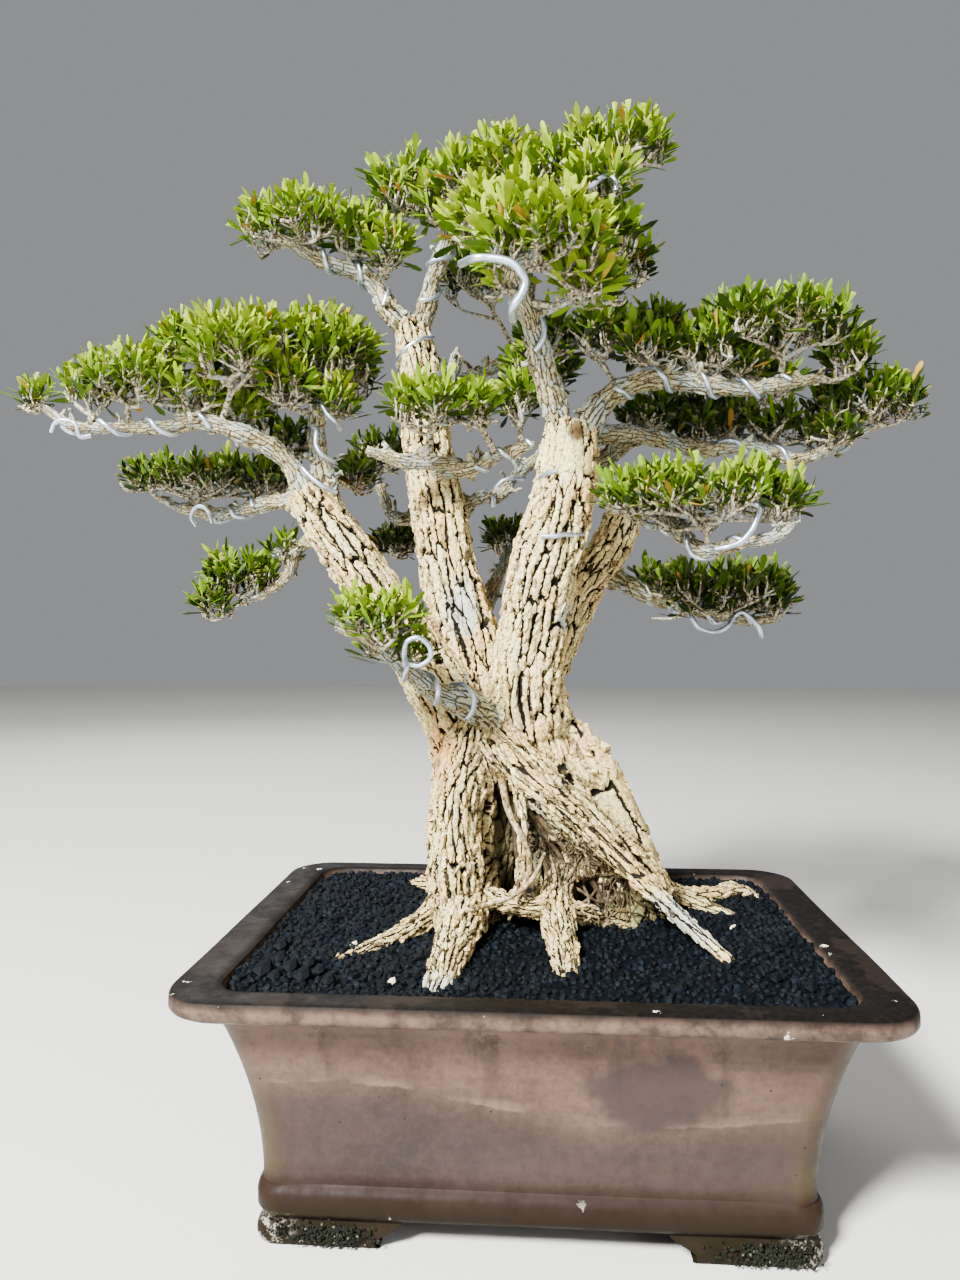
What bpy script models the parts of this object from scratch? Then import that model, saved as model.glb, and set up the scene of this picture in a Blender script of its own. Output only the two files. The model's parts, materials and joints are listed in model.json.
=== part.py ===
"""A boxwood bonsai in a rectangular clay pot: pot, drain meshes, soil, tree, foliage pads and training wires.

Sizes are in millimetres in the pot's own frame: x to the right, y to the back, z up, with zero at the
centre of the pot's footprint. to_scene() moves the origin to the bottom centre of the whole object, whose
branches reach further to the left and to the back than its pot does.
"""

import math
import random

import bmesh
import bpy
import numpy as np

# Scale and frame
METRES = 0.001
FRAME_X = -42.5
FRAME_Y = 31.0
GAP = 0.4

# Pot: half lengths and half depths of each level, from the foot to the rim
POT_HEIGHT = 164.0
FOOT_HEIGHT = 16.0
FLOOR_TOP = 28.0
RIM_HALF = (225.0, 170.0)
RIM_FACE = 14.0
BODY_TOP_HALF = (198.0, 148.0)
BODY_LOW_HALF = (172.0, 131.0)
BAND_HALF = (176.0, 135.0)
BAND_TOP = 36.0
MOUTH_HALF = (195.0, 148.0)
FLOOR_HALF = (162.0, 121.0)
FLARE_SHARES = (0.35, 0.65, 0.88, 1.0)
FLARE_BEND = 1.9
FLARE_CORNER = 6.0
COVE = 4.0
BAND_EDGE = 5.0
BAND_INSET = 4.0
LIP_UNDER = (8.0, 6.0)
LIP_CORNER = 30.0
RIM_EDGE = 2.0
RIM_ROUND = 2.5
RIM_CORNER = 34.0
BODY_CORNER = 18.0
MOUTH_CORNER = 22.0
CORNER_STEPS = 4
FOOT_LENGTH = 92.0
FOOT_DEPTH = 62.0
FOOT_WALL = 20.0
FOOT_SLOPE = 16.0
FOOT_BITE = 2.0
FOOT_CHAMFER = (12.0, 4.0)
# Each level of a foot: share of its height, share of its slope, and how far it stands out
FOOT_LEVELS = ((0.0, 1.0, 1.0), (0.5, 0.75, 3.0), (1.0, 0.0, 0.0))
DRAIN_X = 85.0
DRAIN_RADIUS = 12.0
DRAIN_SIDES = 16
OVERCUT = 5.0
MESH_SIDE = 48.0
MESH_THICK = 2.0
MESH_CELLS = 3
MESH_BAR = 3.0

# Soil
SOIL_TOP = 159.0
SOIL_CORNER = 26.0
SOIL_INSET = 0.6
SOIL_MOUND = 5.0
MOUND_CENTRE = (10.0, 50.0)
MOUND_REACH = (130.0, 80.0)
GRIT_RELIEF = 1.7
GRIT_CELLS = (20, 14)
GRIT_SHIFT = 3.0

# Trunk base: height, centre x, centre y, half width, half depth
TRUNK_BASE = [
    (105, 10, 45, 70, 55),
    (135, 12, 46, 92, 64),
    (158, 13, 46, 94, 62),
    (172, 12, 46, 89, 57),
    (198, 7, 43, 84, 50),
    (225, 0, 41, 78, 46),
    (252, -8, 38, 71, 43),
    (280, -17, 36, 63, 40),
    (305, -30, 36, 56, 37),
    (328, -38, 38, 44, 30),
]
TRUNK_SIDES = 22
LIMB_SIDES = 10
BRANCH_SIDES = 5
BARK_RIDGE = 0.075
# How bark ridges vary: by this share, at this pace along the limb and round it
RIDGE_WAVE = (0.25, 1.9, 2.3)
BASE_WAVE = (0.3, 2.1, 1.7)
LIMB_SIDEWAYS = (0.31, 0.9, 0.2)
HOLLOW_X = (-30.0, 45.0)
HOLLOW_TOP = 262.0
HOLLOW_DEPTH = 0.34

# Limbs: points x, y, z and radius, from where each grows to its tip
TRUNKS = {
    "left": [(-45, 35, 280, 30), (-65, 30, 315, 27), (-90, 25, 360, 23), (-120, 20, 405, 20),
             (-155, 15, 455, 19), (-180, 15, 490, 16)],
    "centre": [(-20, 50, 295, 30), (-40, 50, 330, 26), (-55, 50, 375, 24), (-70, 55, 425, 23),
               (-80, 60, 480, 22), (-90, 60, 540, 19), (-95, 60, 590, 18), (-105, 60, 635, 14)],
    "right": [(-5, 35, 305, 32), (-10, 30, 335, 29), (-5, 30, 375, 26), (5, 20, 430, 25),
              (20, 15, 480, 23), (25, 10, 520, 21), (25, 10, 540, 17)],
    "far_right": [(0, 58, 310, 23), (4, 62, 345, 18), (34, 70, 413, 17), (60, 70, 450, 16),
                  (75, 60, 485, 13), (90, 40, 510, 9)],
    "column_left": [(-50, 12, 300, 20), (-60, 0, 255, 20), (-60, -8, 210, 20), (-55, -10, 150, 22)],
    "buttress": [(-25, 5, 295, 15), (5, -5, 265, 15), (40, 0, 235, 16), (80, 20, 195, 17),
                 (102, 38, 150, 15)],
    "flank_right": [(10, 45, 300, 22), (40, 45, 265, 24), (62, 48, 225, 24), (80, 52, 180, 24),
                    (85, 55, 150, 22)],
}
BRANCHES = {
    "left_top": [(-160, 15, 470, 14), (-170, 25, 510, 11), (-175, 30, 540, 9), (-170, 35, 575, 7),
                 (-160, 40, 610, 5)],
    "left_long": [(-178, 15, 485, 12), (-195, 10, 515, 9), (-220, 0, 530, 8), (-250, -10, 540, 7),
                  (-280, -15, 535, 6), (-315, -20, 535, 5), (-345, -25, 535, 4.5), (-370, -25, 550, 4)],
    "left_low": [(-180, 18, 485, 9), (-220, 45, 485, 7), (-260, 65, 480, 6), (-295, 80, 485, 5.5),
                 (-330, 92, 498, 4)],
    "left_droop": [(-145, 20, 448, 9), (-175, 40, 455, 6.5), (-195, 50, 450, 5.5), (-205, 55, 430, 5),
                   (-225, 60, 415, 4.5), (-250, 65, 405, 3.5)],
    "centre_left": [(-100, 60, 622, 12), (-120, 55, 645, 9), (-140, 50, 670, 8), (-170, 45, 680, 7),
                    (-190, 40, 690, 6), (-225, 34, 702, 4)],
    "centre_right": [(-100, 60, 618, 11), (-90, 55, 650, 9), (-80, 45, 675, 8), (-70, 40, 700, 6.5),
                     (-85, 40, 725, 5), (-102, 45, 748, 4)],
    "right_apex": [(22, 10, 522, 13), (10, 0, 560, 11), (0, -15, 595, 10), (-10, -45, 615, 8),
                   (-15, -75, 625, 7), (0, -100, 625, 6)],
    "apex_top": [(-8, -40, 613, 7), (-5, -30, 650, 6.5), (15, -30, 680, 6), (40, -30, 695, 5),
                 (70, -32, 717, 4)],
    "right_upper": [(28, 10, 522, 13), (50, 10, 555, 11), (80, 10, 570, 9.5), (115, 15, 570, 8.5),
                    (155, 20, 565, 7.5), (190, 25, 570, 6), (215, 28, 576, 4.5)],
    "right_long": [(34, 15, 532, 11), (80, 35, 535, 8), (130, 50, 525, 7), (170, 60, 530, 6.5),
                   (210, 65, 520, 6), (255, 65, 540, 5), (280, 65, 549, 4)],
    "front_pad": [(82, 50, 492, 10), (95, 0, 465, 8), (115, -35, 440, 7), (135, -50, 440, 6),
                  (160, -55, 445, 5), (174, -58, 456, 4)],
    "right_low": [(52, 70, 430, 11), (85, 75, 415, 9), (115, 75, 405, 8), (145, 70, 395, 6.5),
                  (175, 70, 390, 5.5), (195, 67, 393, 4.5)],
    "low_front": [(-35, 18, 312, 16), (-55, -15, 330, 12), (-75, -35, 340, 9), (-95, -55, 360, 8),
                  (-115, -70, 375, 6), (-135, -75, 385, 4.5)],
    "cross": [(-85, 50, 505, 9), (-62, 28, 512, 7), (-80, 18, 512, 6.5), (-100, 12, 512, 6),
              (-130, 0, 520, 4.5)],
    "cross_right": [(-72, 30, 508, 7.5), (-50, 20, 508, 7), (-30, 18, 518, 6), (0, 12, 524, 4.5)],
    "centre_back": [(-72, 60, 470, 9), (-50, 85, 495, 7), (-35, 110, 500, 6.5), (-15, 135, 525, 6),
                    (5, 155, 545, 5)],
    "back_left": [(-80, 62, 475, 9), (-105, 110, 480, 7.5), (-135, 150, 490, 6), (-150, 175, 520, 5)],
    "back_mid": [(-55, 55, 375, 10), (-40, 120, 420, 8), (-30, 160, 450, 6), (-30, 195, 465, 5)],
    "back_top": [(-92, 62, 560, 9), (-75, 110, 600, 7.5), (-45, 150, 620, 6), (-15, 180, 655, 5)],
    "back_right": [(22, 18, 495, 12), (55, 75, 525, 9), (95, 120, 555, 7), (135, 155, 575, 5)],
    "stub": [(-80, 55, 560, 8), (-68, 48, 590, 7), (-64, 46, 604, 6)],
}
ROOTS = {
    "front_left": [(-50, 15, 190, 22), (-55, -40, 170, 15), (-60, -108, 159, 10), (-66, -124, 153, 6)],
    "front_middle": [(10, 20, 205, 14), (15, -25, 175, 12), (20, -85, 159, 9), (20, -102, 153, 6)],
    "bridge": [(-50, -5, 185, 9), (-10, -20, 180, 7), (15, -20, 180, 7), (45, 0, 168, 8)],
    "left": [(-60, 15, 180, 18), (-80, -10, 168, 9), (-100, -40, 162, 7), (-120, -60, 159, 5),
             (-135, -75, 154, 4)],
    "thin": [(15, 0, 255, 9), (45, -14, 228, 8), (75, -28, 203, 6.5), (105, -45, 178, 5.5),
             (125, -60, 163, 4.5), (136, -72, 154, 4)],
    "right": [(80, 50, 185, 15), (110, 60, 170, 8), (138, 75, 164, 6.5), (162, 88, 166, 5.5),
              (179, 94, 161, 4.5), (186, 86, 154, 3.5)],
    "right_fork": [(108, 58, 170, 7), (130, 45, 164, 5.5), (148, 40, 160, 4.5), (160, 40, 154, 3.5)],
    "back": [(20, 60, 185, 20), (30, 98, 170, 13), (42, 116, 158, 8), (48, 124, 152, 5)],
    "back_left": [(-45, 55, 185, 20), (-80, 85, 168, 11), (-105, 110, 158, 7), (-113, 118, 152, 5)],
    "hanging": [(-22, 2, 287, 5), (-10, -17, 245, 4), (-10, -21, 210, 4), (-15, -12, 182, 5)],
}

# Foliage pads: the branch that carries each, its centre and its half sizes
PADS = {
    "apex_right": ("apex_top", (58, -33, 724), (48, 36, 30)),
    "apex": ("apex_top", (-20, 0, 715), (38, 42, 48)),
    "apex_front": ("right_apex", (5, -98, 632), (52, 42, 40)),
    "apex_left": ("centre_right", (-103, 50, 737), (42, 42, 42)),
    "top_left": ("centre_left", (-190, 35, 706), (58, 42, 32)),
    "apex_low": ("right_apex", (66, -28, 645), (24, 28, 25)),
    "left_front": ("left_long", (-225, -28, 585), (38, 48, 38)),
    "left_inner": ("left_top", (-172, 42, 602), (40, 46, 48)),
    "left_long": ("left_long", (-306, -20, 570), (46, 44, 30)),
    "left_tip": ("left_long", (-376, -25, 556), (18, 20, 16)),
    "left_low": ("left_low", (-292, 88, 512), (70, 44, 27)),
    "left_droop": ("left_droop", (-248, 62, 425), (42, 32, 32)),
    "centre": ("cross", (-78, -18, 548), (42, 32, 24)),
    "front_low": ("low_front", (-108, -72, 388), (42, 36, 26)),
    "right_inner": ("right_upper", (90, 48, 617), (40, 44, 28)),
    "right_top": ("right_upper", (180, 22, 612), (66, 52, 33)),
    "right_tip": ("right_long", (262, 62, 562), (54, 42, 27)),
    "right_middle": ("back_right", (140, 138, 573), (56, 40, 28)),
    "right_front": ("front_pad", (114, -48, 474), (68, 44, 33)),
    "right_low": ("right_low", (145, 70, 416), (68, 44, 28)),
    "back_apex": ("back_top", (2, 108, 605), (42, 42, 38)),
    "back_left": ("back_left", (-148, 172, 548), (38, 36, 30)),
    "back_low_left": ("back_left", (-132, 168, 462), (28, 34, 25)),
    "back_low": ("back_mid", (-30, 195, 470), (32, 32, 24)),
    "left_stem": ("left_top", (-150, 72, 510), (20, 24, 22)),
    "back_upper_left": ("left_top", (-178, 138, 615), (42, 38, 32)),
    "back_upper_right": ("back_right", (118, 172, 640), (48, 38, 30)),
    "back_top": ("back_top", (-55, 140, 705), (46, 40, 34)),
    "back_right_tip": ("back_right", (200, 150, 602), (42, 36, 26)),
}
RISER_DROP = 0.3
RISER_THICKEST = 4.5
RISER_SHARE = 0.8
RISER_TAPER = 0.7
RISER_SIDES = 4
HUB_SHARE = 0.44
TWIG_RADIUS = 1.7
TUFT_SPACING = 69.0
TUFT_LEAVES = 6
TUFT_HEART = 3.2
TUFT_REACH = 12.0
TUFT_TRIES = 24
TUFT_FEWEST = 3
TUFT_SIDEWAYS = (0.4, 0.2, 0.9)
# Where a tuft is tested for room, as shares of each leaf and of its twig
LEAF_SPOTS = (0.35, 0.65, 1.0)
TWIG_SPOTS = (0.6, 0.8)
TUFT_DENSITY = 2.7
TUFT_HEIGHTS = (0.92, -0.18)
TUFT_UPRIGHT = 0.45
PAD_SQUARENESS = 2.7
GOLDEN_TURN = 2.39996
TURN_JITTER = 0.6
LEAF_LENGTH = 21.0
LEAF_WIDTH = 6.6
LEAF_BELLY = 0.62
LEAF_SPREAD = (38.0, 58.0)
CLEAR_OF_WOOD = 4.2
CLEAR_OF_LEAVES = 6.0
SEED = 5

# Training wires: the limb, start and end as shares of its length, turns, and wire radius
WIRES = {
    "top_left": ("centre_left", 0.22, 0.7, 2.5, 2.0),
    "centre_top": ("centre", 0.84, 0.97, 1.5, 2.0),
    "centre_right": ("centre_right", 0.22, 0.55, 1.5, 2.0),
    "left_long": ("left_long", 0.42, 0.9, 3.0, 2.0),
    "left_low": ("left_low", 0.32, 0.62, 2.0, 2.0),
    "cross": ("cross_right", 0.35, 0.95, 2.0, 2.0),
    "right_trunk": ("right", 0.62, 0.84, 1.0, 2.0),
    "right_upper": ("right_upper", 0.24, 0.88, 4.0, 2.0),
    "right_long": ("right_long", 0.36, 0.74, 2.5, 2.0),
    "apex_front": ("right_apex", 0.42, 0.86, 1.5, 2.5),
    "apex_right": ("apex_top", 0.35, 0.7, 1.5, 2.0),
    "front_pad": ("front_pad", 0.3, 0.8, 2.0, 2.0),
    "right_low": ("right_low", 0.4, 0.85, 2.0, 2.0),
    "low_front": ("low_front", 0.22, 0.72, 2.5, 2.0),
    "centre_back": ("centre_back", 0.3, 0.8, 1.5, 2.0),
}
WIRE_STEPS = 6
WIRE_BITE = 0.94
WIRE_SIDES = 4
WIRE_ROUNDS = 30
WIRE_PUSH = 0.6


def clear_scene():
    for old in list(bpy.data.objects):
        bpy.data.objects.remove(old)


def material(name, colour, roughness, metallic=0.0):
    made = bpy.data.materials.new(name)
    made.use_nodes = True
    shader = made.node_tree.nodes["Principled BSDF"]
    shader.inputs["Base Color"].default_value = (*colour, 1.0)
    shader.inputs["Roughness"].default_value = roughness
    shader.inputs["Metallic"].default_value = metallic
    return made


def new_object(name, points, faces, finish=None):
    """A mesh object from points in millimetres."""
    mesh = bpy.data.meshes.new(name)
    mesh.from_pydata([tuple(METRES * float(value) for value in point) for point in points], [], faces)
    mesh.update()
    made = bpy.data.objects.new(name, mesh)
    bpy.context.scene.collection.objects.link(made)
    if finish:
        mesh.materials.append(finish)
    return made


def apply_modifiers(thing):
    """Keeps what the object's modifiers make as its own mesh."""
    graph = bpy.context.evaluated_depsgraph_get()
    made = bpy.data.meshes.new_from_object(thing.evaluated_get(graph))
    thing.modifiers.clear()
    thing.data = made


def boolean(thing, others, operation, solver="MANIFOLD"):
    """Joins or cuts a solid with a collection of others, which are left in the scene."""
    group = bpy.data.collections.new("operands")
    bpy.context.scene.collection.children.link(group)
    for other in others:
        group.objects.link(other)
    step = thing.modifiers.new("step", "BOOLEAN")
    step.operation = operation
    step.operand_type = "COLLECTION"
    step.collection = group
    step.solver = solver
    apply_modifiers(thing)
    bpy.data.collections.remove(group)


def remove(things):
    for thing in things:
        bpy.data.objects.remove(thing)


def keep_largest(thing):
    """Drops loose scraps and sealed hollows, so that one closed body is left."""
    shape = bmesh.new()
    shape.from_mesh(thing.data)
    bmesh.ops.triangulate(shape, faces=shape.faces)
    left = set(shape.verts)
    bodies = []
    while left:
        body = [left.pop()]
        for corner in body:
            for edge in corner.link_edges:
                other = edge.other_vert(corner)
                if other in left:
                    left.remove(other)
                    body.append(other)
        faces = {face for corner in body for face in corner.link_faces}
        volume = sum(f.verts[0].co.dot(f.verts[1].co.cross(f.verts[2].co)) for f in faces)
        bodies.append((volume, body))
    bodies.sort(key=lambda pair: pair[0])
    scraps = [corner for volume, body in bodies[:-1] for corner in body]
    bmesh.ops.delete(shape, geom=scraps, context="VERTS")
    shape.to_mesh(thing.data)
    shape.free()


def rounded_rectangle(half, corner, steps=CORNER_STEPS):
    """Points round a rectangle with arcs at its corners, anticlockwise from the right."""
    points = []
    for quarter, (sx, sy) in enumerate([(1, 1), (-1, 1), (-1, -1), (1, -1)]):
        for step in range(steps + 1):
            angle = math.pi / 2 * (quarter + step / steps)
            x = sx * (half[0] - corner) + corner * math.cos(angle)
            y = sy * (half[1] - corner) + corner * math.sin(angle)
            points.append((x, y))
    return points


def loft(name, rings, finish=None):
    """A closed solid through rings with the same number of points."""
    count = len(rings[0])
    points = [point for ring in rings for point in ring]
    faces = []
    for level in range(len(rings) - 1):
        for k in range(count):
            a = level * count + k
            b = level * count + (k + 1) % count
            faces.append((a, b, b + count, a + count))
    faces.append(tuple(reversed(range(count))))
    faces.append(tuple(range(len(points) - count, len(points))))
    return new_object(name, points, faces, finish)


def box(name, low, high):
    """A plain block between two corners."""
    x0, y0, z0 = low
    x1, y1, z1 = high
    rings = [[(x0, y0, z), (x1, y0, z), (x1, y1, z), (x0, y1, z)] for z in (z0, z1)]
    return loft(name, rings)


def pot_foot(side, front):
    """One bracket foot under a corner, longer at the top than on the ground."""
    rings = []
    cut, corner = FOOT_CHAMFER
    for share, slope, out in FOOT_LEVELS:
        x = BAND_HALF[0] - BAND_INSET + out
        y = BAND_HALF[1] - BAND_INSET + out
        length = FOOT_LENGTH - slope * FOOT_SLOPE
        depth = FOOT_DEPTH - slope * FOOT_SLOPE
        plan = [(x, y - depth), (x, y - cut), (x - corner, y - corner), (x - cut, y), (x - length, y),
                (x - length, y - FOOT_WALL), (x - FOOT_WALL, y - FOOT_WALL), (x - FOOT_WALL, y - depth)]
        z = share * FOOT_HEIGHT + (FOOT_BITE if share == 1.0 else 0.0)
        turned = [(side * px, front * py, z) for px, py in plan]
        rings.append(turned if side * front > 0 else turned[::-1])
    return loft("foot", rings)


def make_pot(finish):
    """Body, rim and base band are one shell. The feet are joined to it, and the floor is drilled."""
    lip = POT_HEIGHT - RIM_FACE
    levels = [
        (FOOT_HEIGHT, (BAND_HALF[0] - BAND_INSET, BAND_HALF[1] - BAND_INSET), BODY_CORNER),
        (FOOT_HEIGHT + BAND_EDGE, BAND_HALF, BODY_CORNER),
        (BAND_TOP - BAND_EDGE, BAND_HALF, BODY_CORNER),
        (BAND_TOP, BODY_LOW_HALF, BODY_CORNER),
    ]
    for share in FLARE_SHARES:
        bend = share ** FLARE_BEND
        half = [low + (top - low) * bend for low, top in zip(BODY_LOW_HALF, BODY_TOP_HALF)]
        levels.append((BAND_TOP + (lip - COVE - BAND_TOP) * share, half, BODY_CORNER + FLARE_CORNER * bend))
    levels.append((lip, (RIM_HALF[0] - LIP_UNDER[0], RIM_HALF[1] - LIP_UNDER[1]), LIP_CORNER))
    levels.append((lip + RIM_EDGE, RIM_HALF, RIM_CORNER))
    levels.append((POT_HEIGHT - RIM_EDGE, RIM_HALF, RIM_CORNER))
    levels.append((POT_HEIGHT, (RIM_HALF[0] - RIM_ROUND, RIM_HALF[1] - RIM_ROUND), RIM_CORNER - RIM_EDGE))
    levels.append((POT_HEIGHT, MOUTH_HALF, MOUTH_CORNER))
    levels.append((FLOOR_TOP, FLOOR_HALF, MOUTH_CORNER))
    rings = [[(x, y, z) for x, y in rounded_rectangle(half, corner)] for z, half, corner in levels]
    pot = loft("pot", rings, finish)
    feet = [pot_foot(side, front) for side in (-1, 1) for front in (-1, 1)]
    boolean(pot, feet, "UNION", "EXACT")
    remove(feet)
    drills = []
    for side in (-1, 1):
        turn = [2 * math.pi * k / DRAIN_SIDES for k in range(DRAIN_SIDES)]
        round_hole = [(side * DRAIN_X + DRAIN_RADIUS * math.cos(a), DRAIN_RADIUS * math.sin(a)) for a in turn]
        drills.append(loft("drill", [[(x, y, z) for x, y in round_hole] for z in (0.0, FLOOR_TOP + OVERCUT)]))
    boolean(pot, drills, "DIFFERENCE", "EXACT")
    remove(drills)
    return pot


def make_drain_mesh(name, centre_x, finish):
    """A square plastic mesh that keeps the grit in, lying on the floor over a drain hole."""
    half = MESH_SIDE / 2
    low = FLOOR_TOP + GAP
    sheet = box(name, (centre_x - half, -half, low), (centre_x + half, half, low + MESH_THICK))
    sheet.data.materials.append(finish)
    pitch = (MESH_SIDE - MESH_BAR) / MESH_CELLS
    windows = []
    for column in range(MESH_CELLS):
        for row in range(MESH_CELLS):
            x = centre_x - half + MESH_BAR + column * pitch
            y = -half + MESH_BAR + row * pitch
            reach = pitch - MESH_BAR
            windows.append(box("window", (x, y, low - 1), (x + reach, y + reach, low + MESH_THICK + 1)))
    boolean(sheet, windows, "DIFFERENCE", "EXACT")
    remove(windows)
    return sheet


def smooth_path(points, per_span):
    """A curve through the points that is read at per_span places between each two, radius included."""
    given = np.array(points, float)
    padded = np.vstack([2 * given[0] - given[1], given, 2 * given[-1] - given[-2]])
    out = []
    for span in range(len(given) - 1):
        before, start, end, after = padded[span:span + 4]
        for step in range(per_span):
            t = step / per_span
            bend = 2 * before - 5 * start + 4 * end - after
            twist = 3 * start - before - 3 * end + after
            out.append(0.5 * (2 * start + (end - before) * t + bend * t * t + twist * t ** 3))
    out.append(given[-1])
    return np.array(out)


def unit(vector):
    return vector / np.linalg.norm(vector)


def path_frames(centres):
    """A direction and two cross directions at each point, carried along without twisting."""
    ahead = np.gradient(centres, axis=0)
    ahead /= np.linalg.norm(ahead, axis=1)[:, None]
    side = unit(np.cross(ahead[0], LIMB_SIDEWAYS))
    frames = []
    for direction in ahead:
        side = unit(side - direction * side.dot(direction))
        frames.append((direction, side, np.cross(direction, side)))
    return frames


def tube(name, path, sides, ridge=0.0, grow=0.0):
    """A round limb along a path of x, y, z and radius. Ridges of bark stand out on every other corner."""
    frames = path_frames(path[:, :3])
    vary, along, around = RIDGE_WAVE
    rings = []
    for step, (point, (ahead, side, up)) in enumerate(zip(path, frames)):
        end = -grow if step == 0 else grow if step == len(path) - 1 else 0.0
        centre = point[:3] + ahead * end
        ring = []
        for k in range(sides):
            angle = 2 * math.pi * k / sides
            stand = ridge * (1 if k % 2 else -1) * (1 - vary + vary * math.sin(along * step + around * k))
            reach = point[3] * (1 + stand) + grow
            ring.append(centre + reach * (math.cos(angle) * side + math.sin(angle) * up))
        rings.append(ring)
    return loft(name, rings)


def trunk_base(grow=0.0):
    """The flared base, ridged all round, with a hollow at the front between its buttresses."""
    vary, along, around = BASE_WAVE
    ends = {0: -grow, len(TRUNK_BASE) - 1: grow}
    rings = []
    for level, (z, x, y, half_width, half_depth) in enumerate(TRUNK_BASE):
        ring = []
        for k in range(TRUNK_SIDES):
            angle = 2 * math.pi * k / TRUNK_SIDES
            wave = 1 - vary + vary * math.sin(along * level + around * k)
            stand = 1 + BARK_RIDGE * (1 if k % 2 else -1) * wave
            px = x + (half_width * stand + grow) * math.cos(angle)
            in_hollow = math.sin(angle) < 0 and HOLLOW_X[0] < px < HOLLOW_X[1] and z < HOLLOW_TOP
            depth = half_depth * (stand - HOLLOW_DEPTH * in_hollow) + grow
            ring.append((px, y + depth * math.sin(angle), z + ends.get(level, 0.0)))
        rings.append(ring)
    return loft("base", rings)


def limb_paths():
    """Every limb, root and riser as a path with its number of sides and its bark ridge."""
    paths = {}
    for name, points in TRUNKS.items():
        paths[name] = (smooth_path(points, per_span=1), LIMB_SIDES, BARK_RIDGE)
    for name, points in BRANCHES.items():
        paths[name] = (smooth_path(points, per_span=1), BRANCH_SIDES, 0.0)
    for name, points in ROOTS.items():
        paths["root_" + name] = (smooth_path(points, per_span=1), BRANCH_SIDES, 0.0)
    for name, (carrier, centre, half) in PADS.items():
        line = smooth_path(BRANCHES[carrier], per_span=4)
        end = np.array(centre) - (0, 0, half[2] * RISER_DROP)
        near = line[np.argmin(np.linalg.norm(line[:, :3] - end, axis=1))]
        span = np.linalg.norm(end - near[:3])
        thick = near[3] * RISER_SHARE
        if span > thick:
            thick = min(RISER_THICKEST, thick)
            riser = np.array([[*near[:3], thick], [*end, thick * RISER_TAPER]])
            paths["riser_" + name] = (riser, RISER_SIDES, 0.0)
    return paths


def make_wood(name, paths, grow=0.0, finish=None):
    """The whole tree as one body. With grow it is the room that other pieces leave round it."""
    solids = [trunk_base(grow)]
    solids += [tube("limb", path, sides, ridge, grow) for path, sides, ridge in paths.values()]
    first, rest = solids[0], solids[1:]
    boolean(first, rest, "UNION")
    remove(rest)
    first.name = name
    keep_largest(first)
    if finish:
        first.data.materials.clear()
        first.data.materials.append(finish)
    return first


def square_to_pot(u, v, half, corner):
    """A place in the square from -1 to 1 as a place inside a rounded rectangle."""
    size = max(abs(u), abs(v))
    if size == 0:
        return 0.0, 0.0
    x, y = half[0] * u / size, half[1] * v / size
    cx = max(-(half[0] - corner), min(half[0] - corner, x))
    cy = max(-(half[1] - corner), min(half[1] - corner, y))
    away = math.hypot(x - cx, y - cy)
    if away > 0:
        x, y = cx + corner * (x - cx) / away, cy + corner * (y - cy) / away
    return size * x, size * y


def make_soil(wood_room, mesh_rooms, finish):
    """The bed of grit, with a rough top that rises to the trunk, fitted inside the pot."""
    rng = random.Random(SEED)
    columns, rows = GRIT_CELLS
    slope = (MOUTH_HALF[0] - FLOOR_HALF[0]) / (POT_HEIGHT - FLOOR_TOP)
    inset = (POT_HEIGHT - SOIL_TOP) * slope + SOIL_INSET
    half = (MOUTH_HALF[0] - inset, MOUTH_HALF[1] - inset)
    low_half = (FLOOR_HALF[0] - GAP, FLOOR_HALF[1] - GAP)
    points = []
    low_points = {}
    for row in range(rows + 1):
        for column in range(columns + 1):
            edge = row in (0, rows) or column in (0, columns)
            u = 2 * column / columns - 1
            v = 2 * row / rows - 1
            x, y = square_to_pot(u, v, half, SOIL_CORNER)
            low_points[len(points)] = (*square_to_pot(u, v, low_half, SOIL_CORNER), FLOOR_TOP + GAP)
            across = (x - MOUND_CENTRE[0]) / MOUND_REACH[0]
            back = (y - MOUND_CENTRE[1]) / MOUND_REACH[1]
            lift = SOIL_MOUND * math.exp(-across ** 2 - back ** 2)
            rough = 0.0 if edge else rng.uniform(-GRIT_RELIEF, GRIT_RELIEF)
            shift = 0.0 if edge else GRIT_SHIFT
            top = SOIL_TOP + rough + (0.0 if edge else lift)
            points.append((x + rng.uniform(-shift, shift), y + rng.uniform(-shift, shift), top))
    width = columns + 1
    faces = [(start, start + 1, start + width + 1, start + width)
             for row in range(rows) for start in range(row * width, row * width + columns)]
    rim = list(range(columns)) + [row * width + columns for row in range(rows)]
    rim += [rows * width + column for column in range(columns, 0, -1)]
    rim += [row * width for row in range(rows, 0, -1)]
    start = len(points)
    points += [low_points[index] for index in rim]
    count = len(rim)
    for k in range(count):
        following = (k + 1) % count
        faces.append((rim[following], rim[k], start + k, start + following))
    faces.append(tuple(start + k for k in reversed(range(count))))
    soil = new_object("soil", points, faces, finish)
    boolean(soil, [wood_room] + mesh_rooms, "DIFFERENCE")
    keep_largest(soil)
    return soil


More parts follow.
